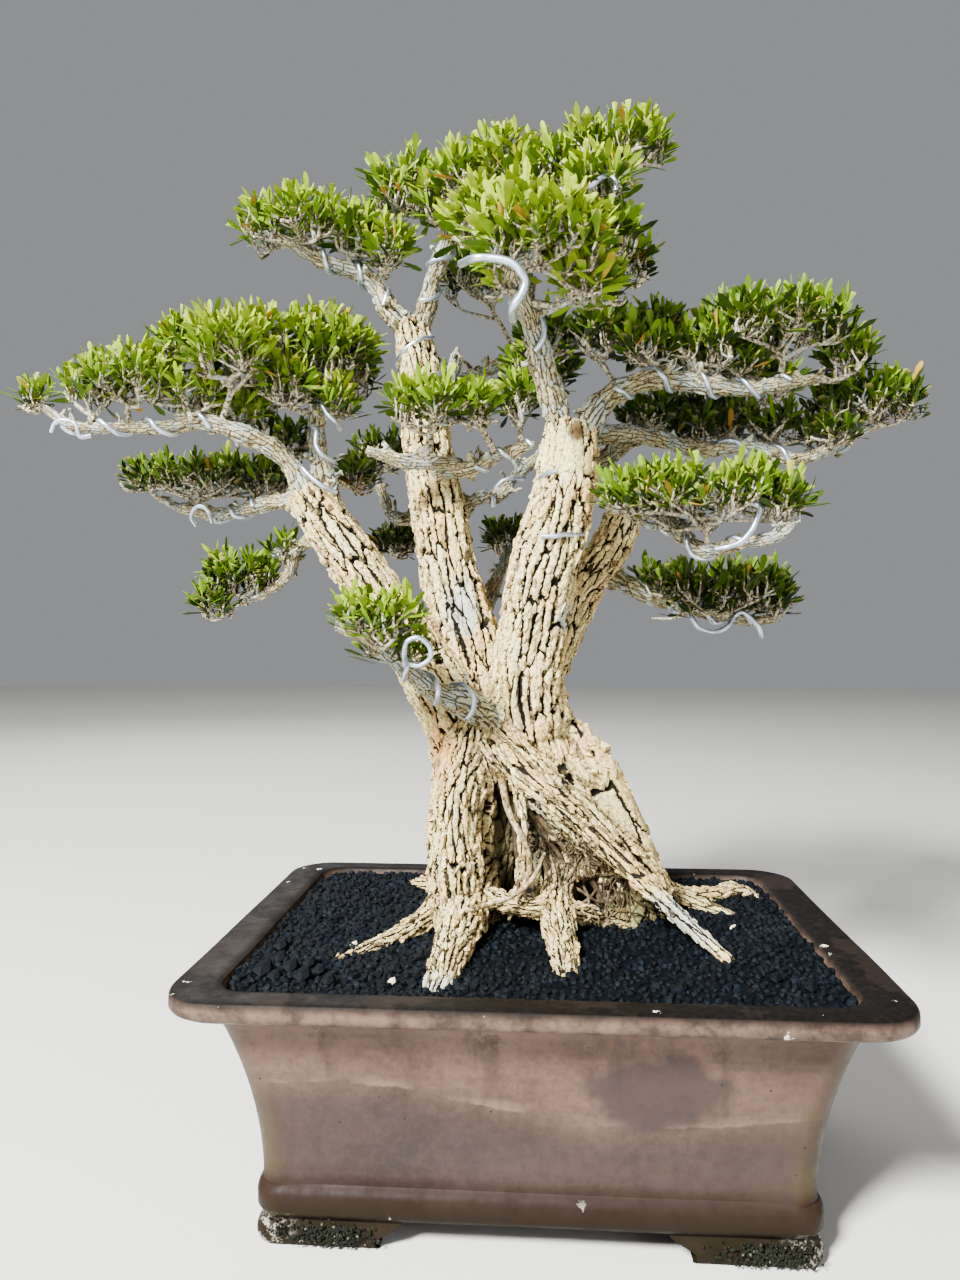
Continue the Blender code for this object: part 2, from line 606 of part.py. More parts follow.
def wire_path(spec, paths):
    """A helix that hugs its limb, pushed clear of any other limb that it passes."""
    limb, begin, end, turns, radius = spec
    line = smooth_path({**TRUNKS, **BRANCHES}[limb], per_span=12)
    frames = path_frames(line[:, :3])
    lengths = np.concatenate([[0], np.cumsum(np.linalg.norm(np.diff(line[:, :3], axis=0), axis=1))])
    lengths /= lengths[-1]
    steps = round(turns * WIRE_STEPS)
    points = []
    for step in range(steps + 1):
        share = begin + (end - begin) * step / steps
        index = int(np.searchsorted(lengths, share))
        ahead, side, up = frames[index]
        angle = 2 * math.pi * step / WIRE_STEPS + math.pi / 2
        reach = (line[index, 3] * WIRE_BITE + radius + GAP) / math.cos(math.pi / WIRE_STEPS)
        points.append(line[index, :3] + reach * (math.cos(angle) * side + math.sin(angle) * up))
    points = np.array(points)
    others = np.vstack([smooth_path(path, per_span=5) for path, sides, ridge in paths.values()])
    room = others[:, 3] * WIRE_BITE + radius + GAP
    for _ in range(WIRE_ROUNDS):
        for point in points:
            away = point - others[:, :3]
            apart = np.linalg.norm(away, axis=1)
            worst = np.argmax(room - apart)
            if apart[worst] < room[worst]:
                point += away[worst] / apart[worst] * (room[worst] - apart[worst]) * WIRE_PUSH
    return np.column_stack([points, np.full(len(points), radius)])


def hub_solid(centre, half):
    """The knot of short twigs in the middle of a pad, from which its longer twigs grow."""
    shape = bmesh.new()
    bmesh.ops.create_icosphere(shape, subdivisions=1, radius=1.0)
    corners = [corner.co for corner in shape.verts]
    points = [[at + HUB_SHARE * size * way for at, size, way in zip(centre, half, co)] for co in corners]
    faces = [tuple(corner.index for corner in face.verts) for face in shape.faces]
    shape.free()
    return new_object("hub", points, faces)


def tuft_shape(foot, axis, turn):
    """The end of a twig: its heart, and for each leaf its two edges, its tip and the notch after it."""
    side = unit(np.cross(axis, TUFT_SIDEWAYS))
    up = np.cross(axis, side)
    rings = []
    for leaf in range(TUFT_LEAVES):
        angle = turn + 2 * math.pi * leaf / TUFT_LEAVES
        between = angle + math.pi / TUFT_LEAVES
        spread = math.radians(LEAF_SPREAD[leaf % 2])
        across = math.cos(angle) * up - math.sin(angle) * side
        along = math.sin(spread) * (math.cos(angle) * side + math.sin(angle) * up) + math.cos(spread) * axis
        belly = foot + along * LEAF_LENGTH * LEAF_BELLY
        notch = foot + TUFT_HEART * (math.cos(between) * side + math.sin(between) * up)
        rings.append((belly - across * LEAF_WIDTH / 2, foot + along * LEAF_LENGTH,
                      belly + across * LEAF_WIDTH / 2, notch))
    return foot + axis * TUFT_HEART, rings


def tuft_solid(root, heart, rings):
    """A twig and its ring of leaves as one closed solid. The twig runs from its root to the notches."""
    points = [heart] + [point for ring in rings for point in ring]
    count = len(rings)
    notches = [4 * (leaf + 1) for leaf in range(count)]
    faces = []
    for leaf in range(count):
        left, tip, right, notch = range(4 * leaf + 1, 4 * leaf + 5)
        before = notches[leaf - 1]
        faces += [(0, before, left), (0, left, tip), (0, tip, right), (0, right, notch)]
        faces += [(before, notch, tip), (before, tip, left), (notch, right, tip)]
    ahead = unit(rings[0][3] + rings[3][3] - 2 * root)
    start = len(points)
    for step in range(3):
        spoke = unit(rings[2 * step][3] - rings[(2 * step + 3) % count][3])
        points.append(root + TWIG_RADIUS * unit(spoke - ahead * spoke.dot(ahead)))
    for step in range(3):
        here, following = start + step, start + (step + 1) % 3
        first, middle, last = notches[2 * step], notches[2 * step + 1], notches[(2 * step + 2) % count]
        faces += [(here, middle, first), (here, following, middle), (following, last, middle)]
    faces.append((start + 2, start + 1, start))
    return new_object("tuft", points, faces)


def pad_tufts(name, centre, half, wood, leaves):
    """The tufts of a pad, evenly over its top and sides, and clear of wood, wires and all other leaves."""
    rng = random.Random("tufts " + name)
    half = np.array(half, float)
    centre = np.array(centre, float)
    girth = (half[0] * half[1] + half[0] * half[2] + half[1] * half[2]) / 3
    count = max(TUFT_FEWEST, round(TUFT_DENSITY * math.pi * girth / TUFT_SPACING ** 2))
    highest, lowest = TUFT_HEIGHTS
    found = []
    for number in range(count):
        for _ in range(TUFT_TRIES):
            height = highest + (lowest - highest) * (number + rng.uniform(0.0, 1.0)) / count
            turn = number * GOLDEN_TURN + rng.uniform(-TURN_JITTER, TURN_JITTER)
            level = (1 - abs(height) ** PAD_SQUARENESS) ** (1 / PAD_SQUARENESS)
            out = np.array([level * math.cos(turn), level * math.sin(turn), height])
            foot = centre + out * (half - np.minimum(TUFT_REACH, half / 2))
            axis = unit(out / half * half.min() + (0, 0, TUFT_UPRIGHT))
            heart, rings = tuft_shape(foot, axis, rng.uniform(0, math.pi))
            spots = [foot + (ring[1] - foot) * share for ring in rings for share in LEAF_SPOTS]
            spots = np.array(spots + [centre + (foot - centre) * share for share in TWIG_SPOTS])
            apart = np.linalg.norm(spots[:, None] - wood[None, :, :3], axis=2) - wood[None, :, 3]
            others = np.array(leaves) if leaves else np.full((1, 3), 1e6)
            near = np.linalg.norm(spots[:, None] - others[None], axis=2).min()
            if apart.min() > CLEAR_OF_WOOD and near > CLEAR_OF_LEAVES:
                found.append(tuft_solid(centre, heart, rings))
                leaves.extend(spots)
                break
    return found


def make_pad(name, rooms, wood, leaves, finish):
    """One spray of foliage as one body: a hub, twigs from it, and a tuft of leaves at the end of each."""
    carrier, centre, half = PADS[name]
    pad = hub_solid(centre, half)
    tufts = pad_tufts(name, centre, half, wood, leaves)
    boolean(pad, tufts, "UNION")
    remove(tufts)
    boolean(pad, rooms, "DIFFERENCE")
    keep_largest(pad)
    pad.name = "leaves_" + name
    pad.data.materials.clear()
    pad.data.materials.append(finish)
    return pad


def to_scene(things):
    """Moves every object from the pot's frame to the object's own: its bottom centre is the origin."""
    for thing in things:
        for corner in thing.data.vertices:
            corner.co.x -= FRAME_X * METRES
            corner.co.y -= FRAME_Y * METRES
        thing.data.update()


def main():
    clear_scene()
    clay = material("unglazed_clay", (0.19, 0.11, 0.09), 0.5)
    grit = material("lava_grit", (0.012, 0.014, 0.022), 0.9)
    bark = material("corky_bark", (0.62, 0.5, 0.33), 0.85)
    leaf = material("boxwood_leaf", (0.14, 0.24, 0.03), 0.45)
    wire = material("training_wire", (0.5, 0.53, 0.58), 0.35, 0.9)
    plastic = material("mesh_plastic", (0.02, 0.05, 0.03), 0.6)

    made = [make_pot(clay)]
    paths = limb_paths()
    made.append(make_wood("tree", paths, 0.0, bark))
    wood_room = make_wood("wood_room", paths, GAP)

    mesh_rooms = []
    for side, place in ((-1, "left"), (1, "right")):
        made.append(make_drain_mesh("drain_mesh_" + place, side * DRAIN_X, plastic))
        half = MESH_SIDE / 2 + GAP
        top = FLOOR_TOP + MESH_THICK + 2 * GAP
        x = side * DRAIN_X
        mesh_rooms.append(box("mesh_room", (x - half, -half, FLOOR_TOP - OVERCUT), (x + half, half, top)))
    made.append(make_soil(wood_room, mesh_rooms, grit))
    remove(mesh_rooms)

    wire_rooms = []
    wire_lines = []
    for name, spec in WIRES.items():
        line = wire_path(spec, paths)
        wire_lines.append(smooth_path(line, per_span=3))
        coil = tube("wire_" + name, line, WIRE_SIDES)
        coil.data.materials.append(wire)
        boolean(coil, [wood_room], "DIFFERENCE")
        keep_largest(coil)
        made.append(coil)
        wire_rooms.append(tube("wire_room", line, WIRE_SIDES, grow=GAP))

    blocked = [smooth_path(path, per_span=6) for path, sides, ridge in paths.values()]
    blocked = np.vstack(blocked + wire_lines)
    leaves = []
    for name in PADS:
        made.append(make_pad(name, [wood_room] + wire_rooms, blocked, leaves, leaf))
    remove([wood_room] + wire_rooms)
    to_scene(made)


main()
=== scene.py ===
# %% [markdown]
# # A boxwood bonsai in a clay pot
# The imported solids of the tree, its pot, its soil, its wires and its sprays of leaves are the frame. Each
# step below dresses one of them. Sizes are in millimetres in the pot's own frame, with zero under the
# middle of the pot, and one function turns them into metres in the frame of the solids.

# %% Load the frame
import itertools
import json
import math
import random

import bmesh
import bpy
import numpy as np
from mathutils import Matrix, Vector
from mathutils.bvhtree import BVHTree

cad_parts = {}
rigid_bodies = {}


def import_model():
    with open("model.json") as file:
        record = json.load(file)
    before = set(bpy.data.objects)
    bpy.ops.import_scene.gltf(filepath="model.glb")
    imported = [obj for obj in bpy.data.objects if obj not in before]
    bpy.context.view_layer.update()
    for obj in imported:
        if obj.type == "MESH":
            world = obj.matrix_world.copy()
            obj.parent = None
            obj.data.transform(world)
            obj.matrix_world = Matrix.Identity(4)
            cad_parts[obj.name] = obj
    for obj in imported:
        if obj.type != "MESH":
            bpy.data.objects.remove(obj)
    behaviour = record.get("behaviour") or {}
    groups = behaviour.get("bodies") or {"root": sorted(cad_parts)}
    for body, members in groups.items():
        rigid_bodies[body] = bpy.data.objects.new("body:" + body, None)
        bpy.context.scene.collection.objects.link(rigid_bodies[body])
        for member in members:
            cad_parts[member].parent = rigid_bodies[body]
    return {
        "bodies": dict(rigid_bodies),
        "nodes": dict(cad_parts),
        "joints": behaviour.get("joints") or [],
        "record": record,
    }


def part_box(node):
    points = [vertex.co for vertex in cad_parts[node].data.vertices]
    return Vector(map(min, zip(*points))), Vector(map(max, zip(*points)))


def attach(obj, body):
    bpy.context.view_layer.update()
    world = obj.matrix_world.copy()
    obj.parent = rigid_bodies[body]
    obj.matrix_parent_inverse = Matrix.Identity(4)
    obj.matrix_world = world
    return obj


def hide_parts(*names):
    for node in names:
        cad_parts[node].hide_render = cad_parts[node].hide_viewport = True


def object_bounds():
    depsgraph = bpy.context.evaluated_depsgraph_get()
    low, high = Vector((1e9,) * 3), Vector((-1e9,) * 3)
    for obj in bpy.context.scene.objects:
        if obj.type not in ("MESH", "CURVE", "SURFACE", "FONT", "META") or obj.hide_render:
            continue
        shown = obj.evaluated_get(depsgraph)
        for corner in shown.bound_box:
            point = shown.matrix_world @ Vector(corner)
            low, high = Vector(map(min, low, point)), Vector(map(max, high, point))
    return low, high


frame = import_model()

MM = 0.001
CAD_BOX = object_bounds()
POT_LOW, POT_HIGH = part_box("pot")
POT_X, POT_Y = (POT_LOW.x + POT_HIGH.x) / 2, (POT_LOW.y + POT_HIGH.y) / 2
print("solids:", len(frame["nodes"]), "pot centre:", round(POT_X, 4), round(POT_Y, 4))

# %% [markdown]
# ## Small tools
# Every step needs the same few things: a place in the pot's frame turned into metres, a colour from a
# colour picker turned into the linear light that Blender works in, a node added with its settings and
# links, and a smooth noise that can be read at many points at once.

# %% Places, colours, nodes and noise
# The node tree that is being built stands last in this list
AT_HAND = []


def place(points):
    """Millimetres in the pot's frame, of one point or many, as metres in the frame of the solids."""
    return np.asarray(points, float) * MM + (POT_X, POT_Y, 0.0)


def tint(code):
    """An sRGB hex colour as linear red, green, blue and alpha."""
    parts = [int(code[k:k + 2], 16) / 255 for k in (1, 3, 5)]
    return (*[c / 12.92 if c <= 0.04045 else ((c + 0.055) / 1.055) ** 2.4 for c in parts], 1.0)


def feed(socket, value):
    """Gives an input its value, or links it to the socket that feeds it."""
    if isinstance(value, bpy.types.NodeSocket):
        socket.id_data.links.new(value, socket)
    else:
        socket.default_value = value


def add(kind, inputs=None, **settings):
    """Adds one node to the tree at hand. An input is given by name or number, as a value or as a socket."""
    made = AT_HAND[-1].nodes.new(kind)
    for name, value in settings.items():
        setattr(made, name, value)
    for key, value in (inputs or {}).items():
        feed(made.inputs[key], value)
    return made


def soft_noise(points, pitch, seed=0):
    """Smooth random values from -1 to 1 that change over about one pitch."""
    cells = np.asarray(points, float) / pitch + 500.0
    base = np.floor(cells).astype(np.int64)
    share = cells - base
    share = share * share * (3 - 2 * share)
    total = np.zeros(len(cells))
    for corner in itertools.product((0, 1), repeat=3):
        mixed = ((base + corner) * (73856093, 19349663, 83492791)).sum(axis=1) + seed * 7919
        mixed = ((mixed ^ (mixed >> 13)) * 1274126177) & 0xFFFFFFFF
        value = ((mixed ^ (mixed >> 15)) & 0xFFFF) / 32767.5 - 1
        total += value * np.prod(np.where(corner, share, 1 - share), axis=1)
    return total


def smoothstep(low, high, value):
    share = np.clip((value - low) / (high - low), 0.0, 1.0)
    return share * share * (3 - 2 * share)


def link(name, data):
    made = bpy.data.objects.new(name, data)
    bpy.context.scene.collection.objects.link(made)
    return made


def paint(mesh, finish):
    mesh.materials.clear()
    mesh.materials.append(finish)


def mesh_from(name, points, faces, edges=(), pattern=False):
    """A mesh from points in millimetres: in the pot's frame, or round its own origin when it is a pattern."""
    mesh = bpy.data.meshes.new(name)
    mesh.from_pydata((np.array(points) * MM if pattern else place(points)).tolist(), edges, faces)
    mesh.update()
    return mesh


def pattern_set(name, meshes):
    """A collection of small shapes that nodes pick from. The shapes themselves are removed at the end."""
    made = bpy.data.collections.new(name)
    for mesh in meshes:
        made.objects.link(bpy.data.objects.new(mesh.name, mesh))
    return made


def keep_modifiers(thing):
    """Turns what the object's modifiers make into its own mesh."""
    graph = bpy.context.evaluated_depsgraph_get()
    made = bpy.data.meshes.new_from_object(thing.evaluated_get(graph))
    thing.modifiers.clear()
    thing.data = made
    return thing


def report(thing):
    thing.data.calc_loop_triangles()
    print(thing.name, len(thing.data.loop_triangles), "triangles")


def dress(thing, slot, *nodes):
    """The piece rides with the one body and stands for some solids, which are hidden. The slot is not used."""
    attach(thing, "root")
    if nodes:
        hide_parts(*nodes)
    report(thing)
    return thing


print("linear pale grey:", [round(c, 3) for c in tint("#DCDAD4")[:3]])

# %% [markdown]
# ## Camera, floor and light
# The photograph was taken from close by with a wide lens at about half the height of the tree, so the rim
# of the pot opens towards the eye while the upper pads are seen from the side. The camera's place was
# worked out from the corners of the rim and the feet. One broad light from high on the left front gives
# the bark its relief, and two weaker ones lift the shadows.

# %% Camera, floor and light
CAMERA_AT = (6.0, -695.0, 379.0)
CAMERA_TURN = 4.0
CAMERA_DIP = 0.33
LENS = 26.0
LIGHTS = [
    ("key_light", (-1350.0, -2050.0, 2250.0), 620.0, 700.0),
    ("fill_light", (2000.0, -1700.0, 1200.0), 1500.0, 30.0),
    ("back_light", (-1200.0, 2300.0, 2000.0), 1500.0, 45.0),
]
AIM = Vector(place((0.0, 20.0, 330.0)))
FLOOR_SIDE = 4000.0
FLOOR_BACK = 6000.0
FLOOR_DROP = 0.5
SKY_STRENGTH = 0.42


def make_camera():
    lens = bpy.data.cameras.new("camera")
    lens.lens = LENS
    made = link("camera", lens)
    made.location = place(CAMERA_AT)
    made.rotation_euler = (math.radians(90 - CAMERA_DIP), 0.0, math.radians(CAMERA_TURN))
    bpy.context.scene.camera = made


def make_light(name, at, size, power):
    lamp = bpy.data.lights.new(name, "AREA")
    lamp.size = size * MM
    lamp.energy = power
    made = link(name, lamp)
    made.location = place(at)
    made.rotation_euler = (AIM - made.location).to_track_quat("-Z", "Y").to_euler()


def make_floor():
    """A wide pale card that stops just under the feet."""
    floor_paint = bpy.data.materials.new("matt_white_floor_paint")
    floor_paint.use_nodes = True
    shader = floor_paint.node_tree.nodes["Principled BSDF"]
    shader.inputs["Base Color"].default_value = tint("#C9C7C2")
    shader.inputs["Roughness"].default_value = 0.9
    corners = [(x, y, -FLOOR_DROP) for x, y in ((-FLOOR_SIDE, -FLOOR_SIDE), (FLOOR_SIDE, -FLOOR_SIDE),
                                                (FLOOR_SIDE, FLOOR_BACK), (-FLOOR_SIDE, FLOOR_BACK))]
    card = mesh_from("floor", corners, [(0, 1, 2, 3)])
    paint(card, floor_paint)
    link("floor", card)


def make_sky():
    """Even light from all round, as in a room with pale walls."""
    sky = bpy.data.worlds.new("soft_studio")
    sky.use_nodes = True
    glow = sky.node_tree.nodes["Background"].inputs
    glow["Color"].default_value = tint("#D9DBDE")
    glow["Strength"].default_value = SKY_STRENGTH
    bpy.context.scene.world = sky


make_camera()
make_floor()
for lamp in LIGHTS:
    make_light(*lamp)
make_sky()
print("camera at", tuple(round(v, 3) for v in bpy.context.scene.camera.location), "lights:", len(LIGHTS))

# %% [markdown]
# ## The tree's plan
# A tree is described best by its centre lines: each limb is a few points with a radius, placed to
# follow the real one, and a smooth curve runs through them. The same lines shape the bark, carry the
# twigs and guide the wires, so nothing can drift apart. These are the lines that the solids follow too.

# %% The trunk, its limbs and its roots
TRUNK_BASE = [
    (105, 10, 45, 70, 55),
    (135, 12, 46, 92, 64),
    (158, 13, 46, 94, 62),
    (172, 12, 46, 89, 57),
    (198, 7, 43, 84, 50),
    (225, 0, 41, 78, 46),
    (252, -8, 38, 71, 43),
    (280, -17, 36, 63, 40),
    (305, -30, 36, 56, 37),
    (328, -38, 38, 44, 30),
]
HOLLOW_X = (-30.0, 45.0)
HOLLOW_TOP = 262.0
HOLLOW_DEPTH = 0.68
TRUNKS = {
    "left": [(-45, 35, 280, 30), (-65, 30, 315, 27), (-90, 25, 360, 23), (-120, 20, 405, 20),
             (-155, 15, 455, 19), (-180, 15, 490, 16)],
    "centre": [(-20, 50, 295, 30), (-40, 50, 330, 26), (-55, 50, 375, 24), (-70, 55, 425, 23),
               (-80, 60, 480, 22), (-90, 60, 540, 19), (-95, 60, 590, 18), (-105, 60, 635, 14)],
    "right": [(-5, 35, 305, 32), (-10, 30, 335, 29), (-5, 30, 375, 26), (5, 20, 430, 25),
              (20, 15, 480, 23), (25, 10, 520, 21), (25, 10, 540, 17)],
    "far_right": [(0, 58, 310, 23), (4, 62, 345, 18), (34, 70, 413, 17), (60, 70, 450, 16),
                  (75, 60, 485, 13), (90, 40, 510, 9)],
    "column_left": [(-50, 12, 300, 20), (-60, 0, 255, 20), (-60, -8, 210, 20), (-55, -10, 150, 22)],
    "buttress": [(-25, 5, 295, 15), (5, -5, 265, 15), (40, 0, 235, 16), (80, 20, 195, 17), (102, 38, 150, 15)],
    "flank_right": [(10, 45, 300, 22), (40, 45, 265, 24), (62, 48, 225, 24), (80, 52, 180, 24),
                    (85, 55, 150, 22)],
}
BRANCHES = {
    "left_top": [(-160, 15, 470, 14), (-170, 25, 510, 11), (-175, 30, 540, 9), (-170, 35, 575, 7),
                 (-160, 40, 610, 5)],
    "left_long": [(-178, 15, 485, 12), (-195, 10, 515, 9), (-220, 0, 530, 8), (-250, -10, 540, 7),
                  (-280, -15, 535, 6), (-315, -20, 535, 5), (-345, -25, 535, 4.5), (-370, -25, 550, 4)],
    "left_low": [(-180, 18, 485, 9), (-220, 45, 485, 7), (-260, 65, 480, 6), (-295, 80, 485, 5.5),
                 (-330, 92, 498, 4)],
    "left_droop": [(-145, 20, 448, 9), (-175, 40, 455, 6.5), (-195, 50, 450, 5.5), (-205, 55, 430, 5),
                   (-225, 60, 415, 4.5), (-250, 65, 405, 3.5)],
    "centre_left": [(-100, 60, 622, 12), (-120, 55, 645, 9), (-140, 50, 670, 8), (-170, 45, 680, 7),
                    (-190, 40, 690, 6), (-225, 34, 702, 4)],
    "centre_right": [(-100, 60, 618, 11), (-90, 55, 650, 9), (-80, 45, 675, 8), (-70, 40, 700, 6.5),
                     (-85, 40, 725, 5), (-102, 45, 748, 4)],
    "right_apex": [(22, 10, 522, 13), (10, 0, 560, 11), (0, -15, 595, 10), (-10, -45, 615, 8),
                   (-15, -75, 625, 7), (0, -100, 625, 6)],
    "apex_top": [(-8, -40, 613, 7), (-5, -30, 650, 6.5), (15, -30, 680, 6), (40, -30, 695, 5),
                 (70, -32, 717, 4)],
    "right_upper": [(28, 10, 522, 13), (50, 10, 555, 11), (80, 10, 570, 9.5), (115, 15, 570, 8.5),
                    (155, 20, 565, 7.5), (190, 25, 570, 6), (215, 28, 576, 4.5)],
    "right_long": [(34, 15, 532, 11), (80, 35, 535, 8), (130, 50, 525, 7), (170, 60, 530, 6.5),
                   (210, 65, 520, 6), (255, 65, 540, 5), (280, 65, 549, 4)],
    "front_pad": [(82, 50, 492, 10), (95, 0, 465, 8), (115, -35, 440, 7), (135, -50, 440, 6),
                  (160, -55, 445, 5), (174, -58, 456, 4)],
    "right_low": [(52, 70, 430, 11), (85, 75, 415, 9), (115, 75, 405, 8), (145, 70, 395, 6.5),
                  (175, 70, 390, 5.5), (195, 67, 393, 4.5)],
    "low_front": [(-35, 18, 312, 16), (-55, -15, 330, 12), (-75, -35, 340, 9), (-95, -55, 360, 8),
                  (-115, -70, 375, 6), (-135, -75, 385, 4.5)],
    "cross": [(-85, 50, 505, 9), (-62, 28, 512, 7), (-80, 18, 512, 6.5), (-100, 12, 512, 6),
              (-130, 0, 520, 4.5)],
    "cross_right": [(-72, 30, 508, 7.5), (-50, 20, 508, 7), (-30, 18, 518, 6), (0, 12, 524, 4.5)],
    "centre_back": [(-72, 60, 470, 9), (-50, 85, 495, 7), (-35, 110, 500, 6.5), (-15, 135, 525, 6),
                    (5, 155, 545, 5)],
    "back_left": [(-80, 62, 475, 9), (-105, 110, 480, 7.5), (-135, 150, 490, 6), (-150, 175, 520, 5)],
    "back_mid": [(-55, 55, 375, 10), (-40, 120, 420, 8), (-30, 160, 450, 6), (-30, 195, 465, 5)],
    "back_top": [(-92, 62, 560, 9), (-75, 110, 600, 7.5), (-45, 150, 620, 6), (-15, 180, 655, 5)],
    "back_right": [(22, 18, 495, 12), (55, 75, 525, 9), (95, 120, 555, 7), (135, 155, 575, 5)],
    "stub": [(-80, 55, 560, 8), (-68, 48, 590, 7), (-64, 46, 604, 6)],
}
ROOTS = {
    "front_left": [(-50, 15, 190, 22), (-55, -40, 170, 15), (-60, -108, 159, 10), (-66, -124, 153, 6)],
    "front_middle": [(10, 20, 205, 14), (15, -25, 175, 12), (20, -85, 159, 9), (20, -102, 153, 6)],
    "bridge": [(-50, -5, 185, 9), (-10, -20, 180, 7), (15, -20, 180, 7), (45, 0, 168, 8)],
    "left": [(-60, 15, 180, 18), (-80, -10, 168, 9), (-100, -40, 162, 7), (-120, -60, 159, 5),
             (-135, -75, 154, 4)],
    "thin": [(15, 0, 255, 9), (45, -14, 228, 8), (75, -28, 203, 6.5), (105, -45, 178, 5.5), (125, -60, 163, 4.5),
             (136, -72, 154, 4)],
    "right": [(80, 50, 185, 15), (110, 60, 170, 8), (138, 75, 164, 6.5), (162, 88, 166, 5.5),
              (179, 94, 161, 4.5), (186, 86, 154, 3.5)],
    "right_fork": [(108, 58, 170, 7), (130, 45, 164, 5.5), (148, 40, 160, 4.5), (160, 40, 154, 3.5)],
    "back": [(20, 60, 185, 20), (30, 98, 170, 13), (42, 116, 158, 8), (48, 124, 152, 5)],
    "back_left": [(-45, 55, 185, 20), (-80, 85, 168, 11), (-105, 110, 158, 7), (-113, 118, 152, 5)],
    "hanging": [(-22, 2, 287, 5), (-10, -17, 245, 4), (-10, -21, 210, 4), (-15, -12, 182, 5)],
}
print("limbs:", len(TRUNKS) + len(BRANCHES), "roots:", len(ROOTS))

# %% Smooth lines and tubes
LINE_STEPS = 8
# A direction that no limb starts in, from which the first cross direction is made
ASKEW = (0.31, 0.9, 0.2)


def smooth_path(points, per_span):
    """A curve through the points that is read at per_span places between each two, radius included."""
    given = np.array(points, float)
    padded = np.vstack([2 * given[0] - given[1], given, 2 * given[-1] - given[-2]])
    out = []
    for span in range(len(given) - 1):
        before, start, end, after = padded[span:span + 4]
        for step in range(per_span):
            t = step / per_span
            bend = 2 * before - 5 * start + 4 * end - after
            twist = 3 * start - before - 3 * end + after
            out.append(0.5 * (2 * start + (end - before) * t + bend * t * t + twist * t ** 3))
    out.append(given[-1])
    return np.array(out)


def unit(vectors):
    vectors = np.asarray(vectors, float)
    return vectors / np.maximum(np.linalg.norm(vectors, axis=-1, keepdims=True), 1e-9)


def path_frames(centres):
    """A direction and two cross directions at each point, carried along without twisting."""
    ahead = unit(np.gradient(centres, axis=0))
    side = unit(np.cross(ahead[0], ASKEW))
    sides = []
    for direction in ahead:
        side = unit(side - direction * side.dot(direction))
        sides.append(side)
    sides = np.array(sides)
    return ahead, sides, np.cross(ahead, sides)


def ring_faces(levels, sides):
    """Faces of a closed shape through levels of rings with the same number of points."""
    faces = [(level * sides + k, level * sides + (k + 1) % sides, (level + 1) * sides + (k + 1) % sides,
              (level + 1) * sides + k) for level in range(levels - 1) for k in range(sides)]
    return faces + [tuple(reversed(range(sides))), tuple(range((levels - 1) * sides, levels * sides))]


def tube(path, sides, fluting=0.0):
    """Points and faces of a closed limb. Fluting makes its section uneven, as wood that grew in strands."""
    side, up = path_frames(path[:, :3])[1:]
    turn = np.linspace(0, 2 * math.pi, sides, endpoint=False)
    run = np.arange(len(path))[:, None]
    uneven = 1 + fluting * (0.55 * np.cos(3 * turn + 0.11 * run + 1.3) + 0.45 * np.cos(5 * turn - 0.07 * run))
    reach = (path[:, 3:4] * uneven)[..., None]
    cosine, sine = np.cos(turn)[None, :, None], np.sin(turn)[None, :, None]
    points = path[:, None, :3] + reach * (cosine * side[:, None] + sine * up[:, None])
    return points.reshape(-1, 3), ring_faces(len(path), sides)


def together(shapes):
    """Several point and face lists as one."""
    points = np.vstack([shape[0] for shape in shapes])
    faces = []
    start = 0
    for corners, loops in shapes:
        faces += [tuple(start + k for k in loop) for loop in loops]
        start += len(corners)
    return points, faces


LIMBS = {**TRUNKS, **BRANCHES, **{"root_" + name: points for name, points in ROOTS.items()}}
LINES = {name: smooth_path(points, LINE_STEPS) for name, points in LIMBS.items()}
print("line points:", sum(len(line) for line in LINES.values()))

# %% [markdown]
# ## The trunk's wood
# Old boxwood grows in strands: the base is a bundle of them that flare into the roots, with a hollow at
# the front where two strands parted. Tubes for the limbs and the strands are laid into each other, and a
# voxel remesh melts them into one skin with an even net of small faces, which the bark relief needs.
# Sculpting by hand would give the same, but a remesh of plain tubes can be changed by one number.

# %% The strands of the base and the rough trunk
STRANDS = 46
STRAND_RADIUS = (4.0, 7.5)
STRAND_DRIFT = 0.16
SMOOTH_SIDE = (-72.0, 6.0)
ROPE_STRANDS = 5
TRUNK_VOXEL = 2.06
BASE_STEPS = 48
# How far out the core and the strands lie, as shares of the base's half width
CORE_REACH = 0.93
STRAND_REACH = 0.94
# Strands of a rope: their thickness and their distance from its centre line, as shares of its radius
ROPE_THICK = (0.34, 0.46)
ROPE_REACH = 0.66
# Sides of a rough tube, and how uneven it is
STRAND_SIDES = 10
TRUNK_SECTION = (26, 0.09)
ROOT_SECTION = (14, 0.12)


def base_place(level, angle, reach=1.0):
    """A place on the base at an angle, with the hollow pressed in at the front."""
    z, x, y, half_width, half_depth = level
    px = x + half_width * reach * math.cos(angle)
    opening = HOLLOW_X[0] + (HOLLOW_X[1] - HOLLOW_X[0]) * np.clip((HOLLOW_TOP - z) / 90, 0.25, 1.0)
    in_hollow = math.sin(angle) < 0 and HOLLOW_X[0] < px < opening and z < HOLLOW_TOP
    depth = half_depth * reach * (1 - HOLLOW_DEPTH * in_hollow)
    return px, y + depth * math.sin(angle), z


def base_core():
    turn = [2 * math.pi * k / BASE_STEPS for k in range(BASE_STEPS)]
    points = [base_place(level, angle, CORE_REACH) for level in TRUNK_BASE for angle in turn]
    return np.array(points), ring_faces(len(TRUNK_BASE), BASE_STEPS)


